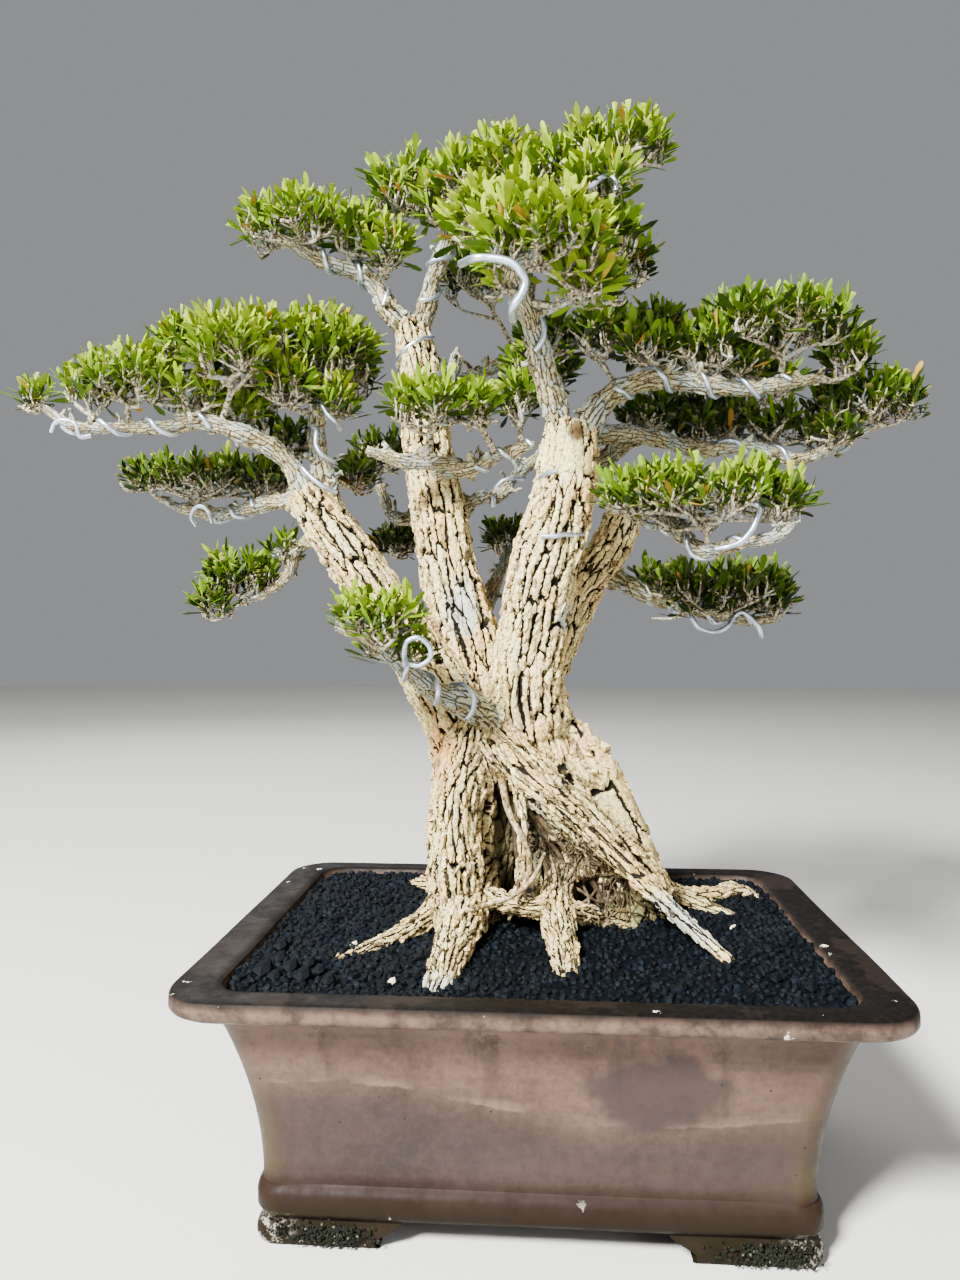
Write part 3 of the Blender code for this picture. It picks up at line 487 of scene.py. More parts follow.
def base_strands():
    """Strands down the base. The flank at the front right has none, because its bark is smooth and broad."""
    rng = random.Random(3)
    strands = []
    low, high = [math.radians(angle) for angle in SMOOTH_SIDE]
    for number in range(STRANDS):
        angle = 2 * math.pi * number / STRANDS + rng.uniform(-0.06, 0.06)
        phase = rng.uniform(0, 6.28)
        thick = rng.uniform(*STRAND_RADIUS)
        path = []
        for level in TRUNK_BASE[1:]:
            drift = STRAND_DRIFT * math.sin(level[0] / 45 + phase)
            swell = thick * (1.0 + 0.25 * math.sin(level[0] / 17 + phase))
            path.append((*base_place(level, angle + drift, STRAND_REACH), swell))
        facing = (angle + math.pi) % (2 * math.pi) - math.pi
        in_hollow = facing < 0 and HOLLOW_X[0] + 8 < path[3][0] < HOLLOW_X[1] - 4
        if not low < facing < high and not in_hollow:
            strands.append(smooth_path(path, 5))
    return strands


def rope(line, count, seed):
    """Thinner strands laid round a limb, as in an old root that is many roots grown together."""
    rng = random.Random(seed)
    side, up = path_frames(line[:, :3])[1:]
    run = np.linspace(0, 1, len(line))
    strands = []
    for number in range(count):
        angle = 2 * math.pi * number / count + 1.3 * run + 0.4 * np.sin(9 * run + rng.uniform(0, 6.28))
        out = np.cos(angle)[:, None] * side + np.sin(angle)[:, None] * up
        thick = line[:, 3] * rng.uniform(*ROPE_THICK)
        strands.append(np.column_stack([line[:, :3] + out * (line[:, 3] * ROPE_REACH)[:, None], thick]))
    return strands


def melt(name, shapes, voxel):
    """Melts overlapping closed shapes into one skin."""
    points, faces = together(shapes)
    thing = link(name, mesh_from(name, points, faces))
    step = thing.modifiers.new("melt", "REMESH")
    step.mode = "VOXEL"
    step.voxel_size = voxel * MM
    return keep_modifiers(thing)


STRAND_LINES = base_strands()
ROPE_LINES = rope(LINES["buttress"], ROPE_STRANDS, 8)
rough = [base_core()] + [tube(line, STRAND_SIDES) for line in STRAND_LINES + ROPE_LINES]
rough += [tube(LINES[name], *TRUNK_SECTION) for name in TRUNKS]
rough += [tube(LINES["root_" + name], *ROOT_SECTION) for name in ROOTS]
trunk = melt("trunk_bark", rough, TRUNK_VOXEL)
report(trunk)

# %% [markdown]
# ## A place on the bark
# Bark follows its limb, so each point of the skin gets a place in its limb's own terms: how far along the
# limb it is, and two numbers that give which way round it lies and how far out the limb reaches. Counted in
# plate widths, with the length along the limb shortened, these three numbers are its grain. A cell pattern
# that is drawn in the grain comes out as long plates on every limb, however it bends, and as narrower plates
# where the limb thins.

# %% The grain of the bark
# Lines lie this far apart in the pattern, so that no two limbs carry the same plates
LINES_APART = 37.0
# Points that are looked up at a time, to save memory
AT_ONCE = 8000


def skin_points(thing):
    """A mesh's points in millimetres in the pot's frame."""
    flat = np.empty(len(thing.data.vertices) * 3)
    thing.data.vertices.foreach_get("co", flat)
    return (flat.reshape(-1, 3) - (POT_X, POT_Y, 0.0)) / MM


def note(mesh, **noted):
    """Keeps numbers or vectors, one for each point, for nodes to read."""
    for name, values in noted.items():
        values = np.asarray(values, np.float32)
        kind, field = ("FLOAT_VECTOR", "vector") if values.ndim == 2 else ("FLOAT", "value")
        mesh.attributes.new(name, kind, "POINT").data.foreach_set(field, values.ravel())


def limb_frames(lines, widths, stretches):
    """All lines end to end: centre, radius, three directions, plate width, and the run along each line."""
    frames = [path_frames(line[:, :3]) for line in lines]
    runs = []
    for number, (line, width, stretch) in enumerate(zip(lines, widths, stretches)):
        steps = np.linalg.norm(np.diff(line[:, :3], axis=0), axis=1) * 2 / (width[1:] + width[:-1])
        runs.append(np.concatenate([[0.0], np.cumsum(steps)]) / stretch + LINES_APART * number)
    starts = np.cumsum([0] + [len(line) for line in lines])
    return (np.vstack(lines), *[np.vstack([frame[k] for frame in frames]) for k in range(3)],
            np.concatenate(widths), np.concatenate(runs), starts)


def limb_grain(points, lines, widths, stretches):
    """Each point's grain, plate width, limb radius, distance from a seam between limbs, and limb direction."""
    samples, ahead, side, up, width_at, run_at, starts = limb_frames(lines, widths, stretches)
    centres, radii = samples[:, :3].astype(np.float32), samples[:, 3].astype(np.float32)
    nearest, seam = np.empty(len(points), int), np.empty(len(points))
    for start in range(0, len(points), AT_ONCE):
        batch = slice(start, start + AT_ONCE)
        part = points[batch].astype(np.float32)
        apart = (part ** 2).sum(axis=1)[:, None] + (centres ** 2).sum(axis=1) - 2 * part @ centres.T
        apart = np.sqrt(np.maximum(apart, 0)) - radii
        nearest[batch] = apart.argmin(axis=1)
        best = np.partition(np.minimum.reduceat(apart, starts[:-1], axis=1), 1, axis=1)
        seam[batch] = best[:, 1] - best[:, 0]
    line_of = np.searchsorted(starts, nearest, side="right") - 1
    behind = ((points - centres[nearest]) * ahead[nearest]).sum(axis=1) < 0
    first = np.clip(nearest - behind, starts[line_of], starts[line_of + 1] - 2)
    step = centres[first + 1] - centres[first]
    share = ((points - centres[first]) * step).sum(axis=1) / (step ** 2).sum(axis=1)
    inside = np.clip(share, 0, 1)[:, None]
    out = points - (centres[first] + share[:, None] * step)
    width = width_at[first] + (width_at[first + 1] - width_at[first]) * inside[:, 0]
    run = run_at[first] + (run_at[first + 1] - run_at[first]) * share
    across = [(out * (way[first] + (way[first + 1] - way[first]) * inside)).sum(axis=1) for way in (side, up)]
    girth = radii[first] + (radii[first + 1] - radii[first]) * inside[:, 0]
    across = unit(np.column_stack(across)) * (girth / width)[:, None]
    return np.column_stack([run, across]), width, radii[nearest], seam, ahead[first]


print("points of the trunk's skin:", len(trunk.data.vertices))

# %% [markdown]
# ## The bark's relief
# The bark of this tree is corky: long plates, with deep dark fissures between them and finer cracks
# across them. The skin is laid flat by its grain, with the join at the back of the limb, and a Voronoi
# texture is drawn on the sheet. The distance to the nearest cell edge sinks the skin at the edges, and the
# cell colour lifts each plate by its own amount. The cells are stretched along the limb, which would leave
# the edges across it far too wide, so those are squeezed. The same nodes are used twice, in a Geometry
# Nodes tree that moves the skin and in the bark's shader, so the dark lines fall exactly in the fissures
# and stay crisp where the mesh is too coarse to hold them.

# %% Nodes shared by the relief and the finish
WARP = (0.24, 0.56, 0.0)
RAGGED = (0.12, 0.36, 0.0)
LONG_WAVES = (8.0, 1.0, 1.0)
FINE_CELLS = (2.7, 1.35, 1.35)
# How far ahead the distance to an edge is read again, and how much narrower that makes an edge across the grain
AHEAD = 0.05
END_SQUEEZE = 2.3
# What a noise adds to the distances, so that some edges and cracks close up
CLOSED_EDGE = 0.025
CLOSED_CRACK = 0.08


def maths(operation, *values):
    return add("ShaderNodeMath", dict(enumerate(values)), operation=operation).outputs[0]


def by_name(operation):
    return lambda *values: maths(operation, *values)


plus, minus, times, over = [by_name(operation) for operation in ("ADD", "SUBTRACT", "MULTIPLY", "DIVIDE")]
larger, smaller, times_plus = [by_name(operation) for operation in ("MAXIMUM", "MINIMUM", "MULTIPLY_ADD")]


def vector(operation, *values):
    return add("ShaderNodeVectorMath", dict(enumerate(values)), operation=operation).outputs[0]


def scaled(direction, size):
    return add("ShaderNodeVectorMath", {0: direction, "Scale": size}, operation="SCALE").outputs[0]


def length(way):
    return add("ShaderNodeVectorMath", {0: way}, operation="LENGTH").outputs["Value"]


def ramp(value, low, high, start=0.0, end=1.0, kind="LINEAR"):
    """The value's share of the way from low to high, as a value from start to end."""
    return add("ShaderNodeMapRange", {"Value": value, "From Min": low, "From Max": high, "To Min": start,
                                      "To Max": end}, interpolation_type=kind).outputs[0]


def noise(where, scale, detail=3.0, roughness=0.55, output="Fac"):
    return add("ShaderNodeTexNoise", {"Vector": where, "Scale": scale, "Detail": detail,
                                      "Roughness": roughness}).outputs[output]


def stray(where, scale, reach, base):
    """Moves a pattern's coordinates about by a noise, so that its lines wander."""
    drift = vector("SUBTRACT", noise(where, scale, 0.8, 0.5, "Color"), (0.5, 0.5, 0.5))
    return vector("MULTIPLY_ADD", drift, reach, base)


def cells(where, feature):
    return add("ShaderNodeTexVoronoi", {"Vector": where, "Scale": 1.0}, voronoi_dimensions="2D",
               feature=feature).outputs


def to_edge(where):
    """The distance to the nearest cell edge, with edges across the grain as narrow as those along it."""
    onward = vector("ADD", where, (AHEAD, 0.0, 0.0))
    here, there = (cells(spot, "DISTANCE_TO_EDGE")["Distance"] for spot in (where, onward))
    slope = maths("ABSOLUTE", minus(there, here))
    return times(here, ramp(slope, 0.3 * AHEAD, 0.9 * AHEAD, 1.0, 1.0 + END_SQUEEZE))


def plate_pattern(grain):
    """How far it is to the plate's edge, a random number for each plate, and how far to the nearest crack."""
    run, side, front = add("ShaderNodeSeparateXYZ", {0: grain}).outputs
    girth = length(add("ShaderNodeCombineXYZ", {"Y": side, "Z": front}).outputs[0])
    around = times(maths("ARCTAN2", side, front), girth)
    skin = add("ShaderNodeCombineXYZ", {"X": run, "Y": around}).outputs[0]
    bent = stray(grain, 1.3, WARP, skin)
    bent = stray(vector("MULTIPLY", grain, LONG_WAVES), 2.1, RAGGED, bent)
    crack = to_edge(vector("MULTIPLY", bent, FINE_CELLS))
    closed = ramp(noise(grain, 2.3, 1.0, 0.5), 0.38, 0.62, 1.0, 0.0)
    return (times_plus(closed, CLOSED_EDGE, to_edge(bent)), cells(bent, "F1")["Color"],
            times_plus(closed, CLOSED_CRACK, crack))


def new_tree(name, start, end, inputs):
    """Opens a tree that works on shapes: what comes in and goes out, its named inputs, and last a finish."""
    tree = bpy.data.node_groups.new(name, "GeometryNodeTree")
    for label, value in {start: "Geometry", **inputs, "Finish": "Material"}.items():
        kind = value if isinstance(value, str) else {float: "Float", int: "Int"}[type(value)]
        socket = tree.interface.new_socket(label, in_out="INPUT", socket_type="NodeSocket" + kind)
        if kind != value:
            socket.default_value = value
    tree.interface.new_socket(end, in_out="OUTPUT", socket_type="NodeSocketGeometry")
    AT_HAND.append(tree)
    return tree, add("NodeGroupInput").outputs


def end_tree(shape, finish):
    """Makes all copies real, gives them their finish and hands the shape out."""
    real = add("GeometryNodeRealizeInstances", {"Geometry": shape}).outputs[0]
    done = add("GeometryNodeSetMaterial", {"Geometry": real, "Material": finish}).outputs[0]
    add("NodeGroupOutput", {0: done})


def noted(name, kind="FLOAT"):
    """What was noted on the points under this name."""
    return add("GeometryNodeInputNamedAttribute", {"Name": name}, data_type=kind).outputs[0]


def smooth(shape):
    return add("GeometryNodeSetShadeSmooth", {"Geometry": shape}).outputs[0]


def relief_tree():
    tree, given = new_tree("bark_relief", "Skin", "Bark", {
        "Fissure Width": 0.32, "Fissure Depth": 5.0 * MM, "Crack Depth": 1.0 * MM, "Plate Lift": 3.4 * MM,
        "Roughness": 1.7 * MM})
    edge, plate, crack = plate_pattern(noted("grain", "FLOAT_VECTOR"))
    fissure = ramp(times(edge, noted("broad")), 0.02, given["Fissure Width"], 1.0, 0.0, "SMOOTHSTEP")
    fissure = larger(fissure, ramp(noted("seam"), 0.1, 0.8, 0.5, 0.0, "SMOOTHSTEP"))
    split = ramp(crack, 0.0, 0.12, 1.0, 0.0, "SMOOTHSTEP")
    lift = times(minus(plate, 0.35), given["Plate Lift"])
    lift = minus(lift, times(fissure, given["Fissure Depth"]))
    lift = times(minus(lift, times(split, given["Crack Depth"])), noted("deep"))
    rough = add("ShaderNodeTexNoise", {"Scale": 210.0, "Detail": 3.0, "Roughness": 0.65}).outputs["Fac"]
    lift = plus(lift, times(minus(rough, 0.5), given["Roughness"]))
    shift = scaled(add("GeometryNodeInputNormal").outputs[0], lift)
    moved = add("GeometryNodeSetPosition", {"Geometry": given["Skin"], "Offset": shift}).outputs[0]
    end_tree(smooth(moved), given["Finish"])
    return tree


def run_tree(thing, tree, **values):
    """Runs a node tree on an object and keeps what it makes as the object's plain mesh."""
    step = thing.modifiers.new("grow", "NODES")
    step.node_group = tree
    for item in tree.interface.items_tree:
        if item.item_type == "SOCKET" and item.in_out == "INPUT" and item.name.replace(" ", "") in values:
            step[item.identifier] = values[item.name.replace(" ", "")]
    return keep_modifiers(thing)


RELIEF = relief_tree()
print("node tree:", RELIEF.name, len(RELIEF.nodes), "nodes")

# %% [markdown]
# ## Corky bark, as a finish
# Dry cork is matt and pale. The fissures hold dust and algae, but their near-black colour is mostly painted
# shade for a depth that the mesh is too coarse to hold, and the seams between limbs and the deep hollow get
# the same painted shade. The colour follows the plates: painted dark in a fissure, brown on the crumbling edge
# of a plate, cream on its weathered face. Finer things come from noise: a difference from plate to plate,
# streaks along the grain about 1 mm apart, and blue-green lichen in patches of 10 to 20 mm on the upper limbs.

# %% Bark material


def blend(share, first, second):
    """A mix of two colours, each a hex code or the socket that feeds it."""
    first, second = [tint(colour) if isinstance(colour, str) else colour for colour in (first, second)]
    return add("ShaderNodeMix", {0: share, 6: first, 7: second}, data_type="RGBA").outputs[2]


def coats(colour, *laid):
    """Lays coats over a colour one after the other, each a share from 0 to 1 and its own colour."""
    for share, coat in laid:
        colour = blend(share, colour, coat)
    return colour


def colour_ramp(value, stops):
    made = add("ShaderNodeValToRGB", {0: value})
    while len(made.color_ramp.elements) < len(stops):
        made.color_ramp.elements.new(0.5)
    for element, (at, code) in zip(made.color_ramp.elements, stops):
        element.position = at
        element.color = tint(code)
    return made.outputs[0]


def attribute(name, output="Fac"):
    return add("ShaderNodeAttribute", attribute_name=name).outputs[output]


def new_finish(name, roughness, specular=0.5):
    """A material with its main shader's inputs and the object coordinates. Its tree is the one at hand."""
    made = bpy.data.materials.new(name)
    made.use_nodes = True
    AT_HAND.append(made.node_tree)
    shader = made.node_tree.nodes["Principled BSDF"].inputs
    feed(shader["Roughness"], roughness)
    feed(shader["Specular IOR Level"], specular)
    return made, shader, add("ShaderNodeTexCoord").outputs["Object"]


def bump(shader, strength, depth, height):
    """Fine relief that only the light sees, with its depth in millimetres."""
    made = add("ShaderNodeBump", {"Strength": strength, "Distance": depth * MM, "Height": height})
    feed(shader["Normal"], made.outputs["Normal"])


def bark_finish(name, pale, warm, lichen, split):
    """Matt cork: no gloss, so the eye reads only its relief and its colours."""
    made, shader, where = new_finish(name, 0.93, 0.2)
    grain = attribute("grain", "Vector")
    edge, plate, crack = plate_pattern(grain)
    edge = times(edge, attribute("broad"))
    crack = times(crack, attribute("broad"))
    streaks = noise(vector("MULTIPLY", grain, (22.0, 5.0, 5.0)), 1.0, 4.0, 0.7)
    crumb = noise(where, 330.0, 3.0, 0.75)
    ragged = noise(where, 60.0, 4.0, 0.7)
    tones = add("ShaderNodeSeparateXYZ", {0: attribute("tones", "Vector")}).outputs
    side = larger(attribute("rim"), ramp(edge, 0.15, 0.32, 0.9 * split, 0.0))
    # The dark lines are painted shade in the fissures, the seams between limbs and the cross cracks
    frayed = times_plus(minus(crumb, 0.5), -0.16, edge)
    line = ramp(frayed, 0.16, 0.21, split, 0.0)
    line = larger(line, times(ramp(attribute("seam"), 0.05, 0.3, 0.6, 0.0), ramp(crumb, 0.42, 0.56)))
    cross = times_plus(minus(crumb, 0.5), -0.12, crack)
    line = larger(line, ramp(cross, 0.05, 0.08, split * 0.85, 0.0))
    # Each plate's tone, streaks and crumbs, the tones of places, lichen, the plates' sides, and the dark lines:
    # painted shade in the fissures, seams and cracks and in the hollow, with the scar's own dark colour
    colour = coats(
        blend(ramp(plus(plate, noise(where, 20.0, 2.0)), 0.6, 1.4), pale, warm),
        (ramp(streaks, 0.46, 0.68, 0.0, 0.72), "#8C6F3B"),
        (ramp(crumb, 0.51, 0.63, 0.0, 0.78), "#5F4929"),
        *[(ramp(times(tone, ragged), 0.16, 0.36, 0.0, 0.75), code)
          for tone, code in zip(tones, ("#3F4520", "#C08A50", "#A9B8B2"))],
        (ramp(ragged, 0.72 - lichen, 0.8 - lichen, 0.0, 0.75), "#A9B8B0"),
        (times(side, ramp(crumb, 0.3, 0.6, 0.7, 1.0)), "#64491F"),
        (larger(line, attribute("gloom")), "#120D06"))
    profile = times_plus(ramp(frayed, 0.04, 0.16), 1.6, plus(streaks, crumb))
    bump(shader, 0.9, 1.1, profile)
    feed(shader["Base Color"], colour)
    return made


old_bark = bark_finish("corky_boxwood_bark", "#EFE1A4", "#DFC181", -0.04, 1.0)
young_bark = bark_finish("lichened_boxwood_bark", "#D6CDA2", "#A09770", 0.24, 0.6)
print("bark nodes:", len(old_bark.node_tree.nodes))

# %% The trunk's plates
PLATE_SHARE = 0.36
PLATE_WIDTHS = (3.8, 8.4)
STRETCH = 6.0
# Width of the plates on the strands and on the rope, and how long they are for their width
STRAND_PLATE = (4.6, 4.0)
ROPE_PLATE = (6.5, 10.0)
WIDE_PLATES = {"flank_right": 24.0, "column_left": 5.0, "buttress": 6.5, "root_thin": 6.0, "root_hanging": 6.0}
LONG_PLATES = {"flank_right": 3.2, "buttress": 10.0, "root_thin": 10.0, "root_hanging": 8.0}
# Places with a colour of their own: centre, reach in mm, and the share of moss, of rust and of lichen
TONES = [
    ((112, 10, 172), (38, 40, 16), (1.0, 0.0, 0.0)),
    ((70, 0, 172), (30, 30, 14), (0.7, 0.2, 0.0)),
    ((-70, 10, 288), (18, 40, 30), (0.0, 0.8, 0.0)),
    ((-66, -118, 158), (20, 18, 9), (0.0, 0.0, 0.9)),
    ((-60, 30, 400), (16, 40, 26), (0.0, 0.0, 1.0)),
    ((100, -45, 180), (50, 30, 22), (0.0, 0.0, 0.9)),
    ((0, 0, 235), (22, 30, 40), (0.0, 0.0, 0.7)),
    ((25, 10, 392), (14, 40, 14), (0.0, 0.0, 0.8)),
    ((44, 35, 286), (26, 44, 28), (0.0, 0.36, 0.0)),
    ((30, -11, 530), (7, 14, 7), (1.6, 0.8, 0.0)),
]
# The hollow's painted shade: from how deep to how deep it grows, how far to the sides it goes, and where it ends
SUNKEN = (3.0, 15.0)
SUNKEN_SIDE = 0.72
SUNKEN_TOP = (285.0, HOLLOW_TOP)
RAGGED_EDGE = ((46, 45, 286), (30, 44, 32))
# The brown scar of a cut branch on the right trunk, and the smooth new bark below it: centre, and reach in mm
SCAR = ((30.0, -8.0, 529.0), (6.5, 14.0, 6.5))
HEALED = ((26.0, -12.0, 512.0), (15.0, 14.0, 20.0))


def near_place(points, centre, reach):
    """A soft share that is 1 at a place and fades out over its reach."""
    away = ((points - np.array(centre, float)) / np.array(reach, float)) ** 2
    return np.exp(-away.sum(axis=1))


def sunken(points):
    """How deep a point lies in the hollow: 0 on the plain front of the base, 1 well behind it."""
    heights, *columns = zip(*TRUNK_BASE)
    middle, centre, half_width, half_depth = [np.interp(points[:, 2], heights, column) for column in columns]
    across = np.clip((points[:, 0] - middle) / half_width, -1, 1)
    front = centre - half_depth * np.sqrt(1 - across ** 2)
    behind = smoothstep(*SUNKEN, points[:, 1] - front) * (points[:, 1] < centre) * (np.abs(across) < SUNKEN_SIDE)
    return behind * smoothstep(*SUNKEN_TOP, points[:, 2])


def trunk_grain():
    """The trunk's lines, the width of the plates at each of their points, and how long the plates are."""
    names = list(TRUNKS) + ["root_" + name for name in ROOTS]
    lines = [LINES[name] for name in names]
    widths = [np.clip(line[:, 3] * PLATE_SHARE, *PLATE_WIDTHS) for line in lines]
    for name, width in WIDE_PLATES.items():
        widths[names.index(name)] = np.full(len(LINES[name]), width)
    stretches = [LONG_PLATES.get(name, STRETCH) for name in names]
    for strands, width, stretch in ((STRAND_LINES, *STRAND_PLATE), (ROPE_LINES, *ROPE_PLATE)):
        lines += strands
        widths += [np.full(len(strand), width) for strand in strands]
        stretches += [stretch] * len(strands)
    return lines, widths, stretches


points = skin_points(trunk)
grain, width, radius, seam, lengthwise = limb_grain(points, *trunk_grain())
flank = smoothstep(10.0, 16.0, width)
scar, healed = near_place(points, *SCAR), near_place(points, *HEALED)
flaky = (1 - 0.85 * flank) * (1 - healed) * (1 - 0.7 * sunken(points))
crumbled = near_place(points, *RAGGED_EDGE)
# The last value is painted shade deep in the hollow, with the dark colour of the cut branch's scar
note(trunk.data, grain=grain, lengthwise=lengthwise, flaky=np.maximum(flaky, 2 * crumbled),
     tipped=1 + 1.3 * crumbled, deep=np.clip(radius / 20, 0.3, 1.0) * (1 - 0.35 * flank) * (1 - healed),
     seam=seam, broad=np.maximum(width / 7.0, 1.0) ** 0.6 * (1 + 4 * healed),
     tones=sum(near_place(points, centre, reach)[:, None] * share for centre, reach, share in TONES),
     gloom=np.clip(0.82 * sunken(points) + 0.95 * scar, 0.0, 0.85))
run_tree(trunk, RELIEF, Finish=old_bark)
dress(trunk, "bark", "tree")

# %% [markdown]
# ## Loose flakes of cork
# The plates of old bark crumble into small blocks whose ends lift off the wood. They catch the light and
# make the limb's outline ragged, which a moved skin alone can't do. Geometry Nodes strew points over the
# finished bark and set one of three thin five-sided blocks on each, flat on the skin and along the limb,
# with one end tipped up, more so where the bark is worst broken. A block takes over what is noted on the
# bark, so that it has the colour of its place.

# %% Flakes set along the grain
FLAKE_SPACING = 5.6
FLAKE_SIZE = (0.75, 1.35)
FLAKE_SIDES = 5
FLAKE_KINDS = [(4.6, 1.7, 1.1), (3.4, 2.0, 0.9), (5.6, 1.5, 1.2)]


def flake_mesh(name, half_length, half_width, height, seed):
    """A flat block that lies along X. Its top is smaller than its foot, and the foot is noted as the rim."""
    rng = random.Random(seed)
    turns = (2 * math.pi * (k + rng.uniform(-0.2, 0.2)) / FLAKE_SIDES for k in range(FLAKE_SIDES))
    foot = [(math.cos(turn) * half_length * rng.uniform(0.85, 1.1),
             math.sin(turn) * half_width * rng.uniform(0.85, 1.15), -1.0) for turn in turns]
    top = [(x * 0.8, y * 0.72, height * rng.uniform(0.8, 1.2)) for x, y, _ in foot]
    mesh = mesh_from(name, foot + top, ring_faces(2, FLAKE_SIDES), pattern=True)
    note(mesh, rim=[1.0] * FLAKE_SIDES + [0.0] * FLAKE_SIDES)
    return mesh


def draw(low, high, seed, kind="FLOAT"):
    """A random value from low to high for each point."""
    first, last, made = {"FLOAT_VECTOR": (0, 1, 0), "FLOAT": (2, 3, 1), "INT": (4, 5, 2)}[kind]
    return add("FunctionNodeRandomValue", {first: low, last: high, "Seed": seed}, data_type=kind).outputs[made]


def turned_by(angles):
    return add("FunctionNodeEulerToRotation", {0: angles}).outputs[0]


def set_on(points, patterns, kind, rotation, size, **choice):
    """Sets one of the patterns on each point: the kind is its number in their collection."""
    picked = add("GeometryNodeCollectionInfo", {"Collection": patterns, "Separate Children": True,
                                                "Reset Children": True}).outputs[0]
    return add("GeometryNodeInstanceOnPoints", {"Points": points, "Instance": picked, "Pick Instance": True,
                                                "Instance Index": kind, "Rotation": rotation, "Scale": size,
                                                **choice}).outputs[0]


def flake_tree():
    tree, given = new_tree("cork_flakes", "Bark", "Flakes", {
        "Flake Kinds": "Collection", "Flake Spacing": FLAKE_SPACING * MM, "Keep Clear": 0.13,
        "Smallest": FLAKE_SIZE[0], "Largest": FLAKE_SIZE[1]})
    strewn = add("GeometryNodeDistributePointsOnFaces", {
        "Mesh": given["Bark"], "Distance Min": given["Flake Spacing"], "Density Max": 60000.0,
        "Density Factor": noted("flaky"), "Seed": 9}, distribute_method="POISSON").outputs
    on_plate = maths("GREATER_THAN", plate_pattern(noted("grain", "FLOAT_VECTOR"))[0], given["Keep Clear"])
    flat = add("FunctionNodeAlignRotationToVector", {"Vector": strewn["Normal"]}, axis="Z").outputs[0]
    lengthwise, tipped = noted("lengthwise", "FLOAT_VECTOR"), noted("tipped")
    along = add("FunctionNodeAlignRotationToVector", {"Rotation": flat, "Vector": lengthwise}, axis="X",
                pivot_axis="Z").outputs[0]
    tip = scaled(draw((-0.12, -0.26, -0.3), (0.12, 0.26, 0.3), 11, "FLOAT_VECTOR"), tipped)
    turned = add("FunctionNodeRotateRotation", {0: along, 1: turned_by(tip)}, rotation_space="LOCAL").outputs[0]
    size = times(draw(given["Smallest"], given["Largest"], 12), tipped)
    kind = draw(0, len(FLAKE_KINDS) - 1, 13, "INT")
    end_tree(set_on(strewn[0], given["Flake Kinds"], kind, turned, size, Selection=on_plate), given["Finish"])
    return tree


FLAKES = pattern_set("flake_kinds", [flake_mesh(f"flake_{number}", *shape, 70 + number)
                                     for number, shape in enumerate(FLAKE_KINDS)])
FLAKE_TREE = flake_tree()
flakes = run_tree(link("cork_flakes", trunk.data.copy()), FLAKE_TREE, FlakeKinds=FLAKES, Finish=old_bark)
dress(flakes, "bark")

# %% [markdown]
# ## The branches
# The branches are too thin for the coarse skin of the trunk, so they are a piece of their own with a finer
# net. Years of pruning leave them knobbly, with short spurs where shoots were cut. The spurs are scattered
# by a seeded draw and melt in with the branch.

# %% Branches with spurs
BRANCH_VOXEL = 1.9
BRANCH_SHARE = 0.86
SPUR_SPACING = 11.0
SPUR_LENGTH = (4.0, 13.0)
BRANCH_PLATE_SHARE = 0.42
BRANCH_PLATE_WIDTHS = (2.2, 4.5)
BRANCH_STRETCH = 4.0


def knobbly(line, seed):
    """The branch's own radius, swollen and pinched every centimetre or so."""
    made = line.copy()
    made[:, 3] *= BRANCH_SHARE * (1 + 0.25 * soft_noise(line[:, :3], 9.0, seed))
    made[:, :3] += np.column_stack([soft_noise(line[:, :3], 18.0, seed + k) for k in (1, 2, 3)]) * 1.2
    return made


def spurs(line, rng):
    """Short cut-off shoots along a branch, most of them upright."""
    found = []
    whole = np.linalg.norm(np.diff(line[:, :3], axis=0), axis=1).sum()
    for _ in range(int(whole / SPUR_SPACING)):
        point = line[rng.randrange(2, len(line))]
        out = unit((rng.uniform(-1, 1), rng.uniform(-1, 1), rng.uniform(-0.2, 1.2)))
        reach = point[3] + rng.uniform(*SPUR_LENGTH)
        thick = min(3.2, point[3] * 0.6)
        tip = point[:3] + out * reach
        middle = 0.5 * (point[:3] + tip) + [rng.uniform(-1.5, 1.5) for _ in range(3)]
        found.append(np.array([[*point[:3], thick], [*middle, thick * 0.75], [*tip, thick * 0.6]]))
    return found


rng = random.Random(21)
BRANCH_LINES = {name: knobbly(LINES[name], 31 + k) for k, name in enumerate(BRANCHES)}
shoots = [spur for line in BRANCH_LINES.values() for spur in spurs(line, rng)]
rough = [tube(line, 12, 0.1) for line in BRANCH_LINES.values()] + [tube(spur, 7) for spur in shoots]
branches = melt("branches_bark", rough, BRANCH_VOXEL)
branch_lines = list(BRANCH_LINES.values())
branch_widths = [np.clip(line[:, 3] * BRANCH_PLATE_SHARE, *BRANCH_PLATE_WIDTHS) for line in branch_lines]
grain, width, radius, seam, lengthwise = limb_grain(
    skin_points(branches), branch_lines, branch_widths, [BRANCH_STRETCH] * len(branch_lines))
plain = np.ones(len(radius))
note(branches.data, grain=grain, lengthwise=lengthwise, flaky=np.clip(radius / 9, 0.1, 1.0),
     deep=np.clip(radius / 22, 0.14, 0.5), broad=plain, tipped=plain, seam=9.0 * plain)
run_tree(branches, RELIEF, Finish=young_bark)
dress(branches, "bark")
small_flakes = run_tree(link("branch_flakes", branches.data.copy()), FLAKE_TREE, FlakeKinds=FLAKES,
                        FlakeSpacing=6.5 * MM, Smallest=0.4, Largest=0.85, KeepClear=0.05, Finish=young_bark)
dress(small_flakes, "bark")

# %% [markdown]
# ## Foliage pads: where the shoots are
# Each pad is a rounded cloud that hangs on one branch, and smaller clouds fill the room between the pads, as
# on a tree that has been pruned for years. The shoots end on a cloud's top and sides and point up and out,
# and thin twigs run back from them to a few side branches that fan out low in the cloud. The ends are placed
# by a golden-angle rule with a seeded jitter, which spreads them evenly without rows, and a shoot is left
# out where another one or the wood already stands.

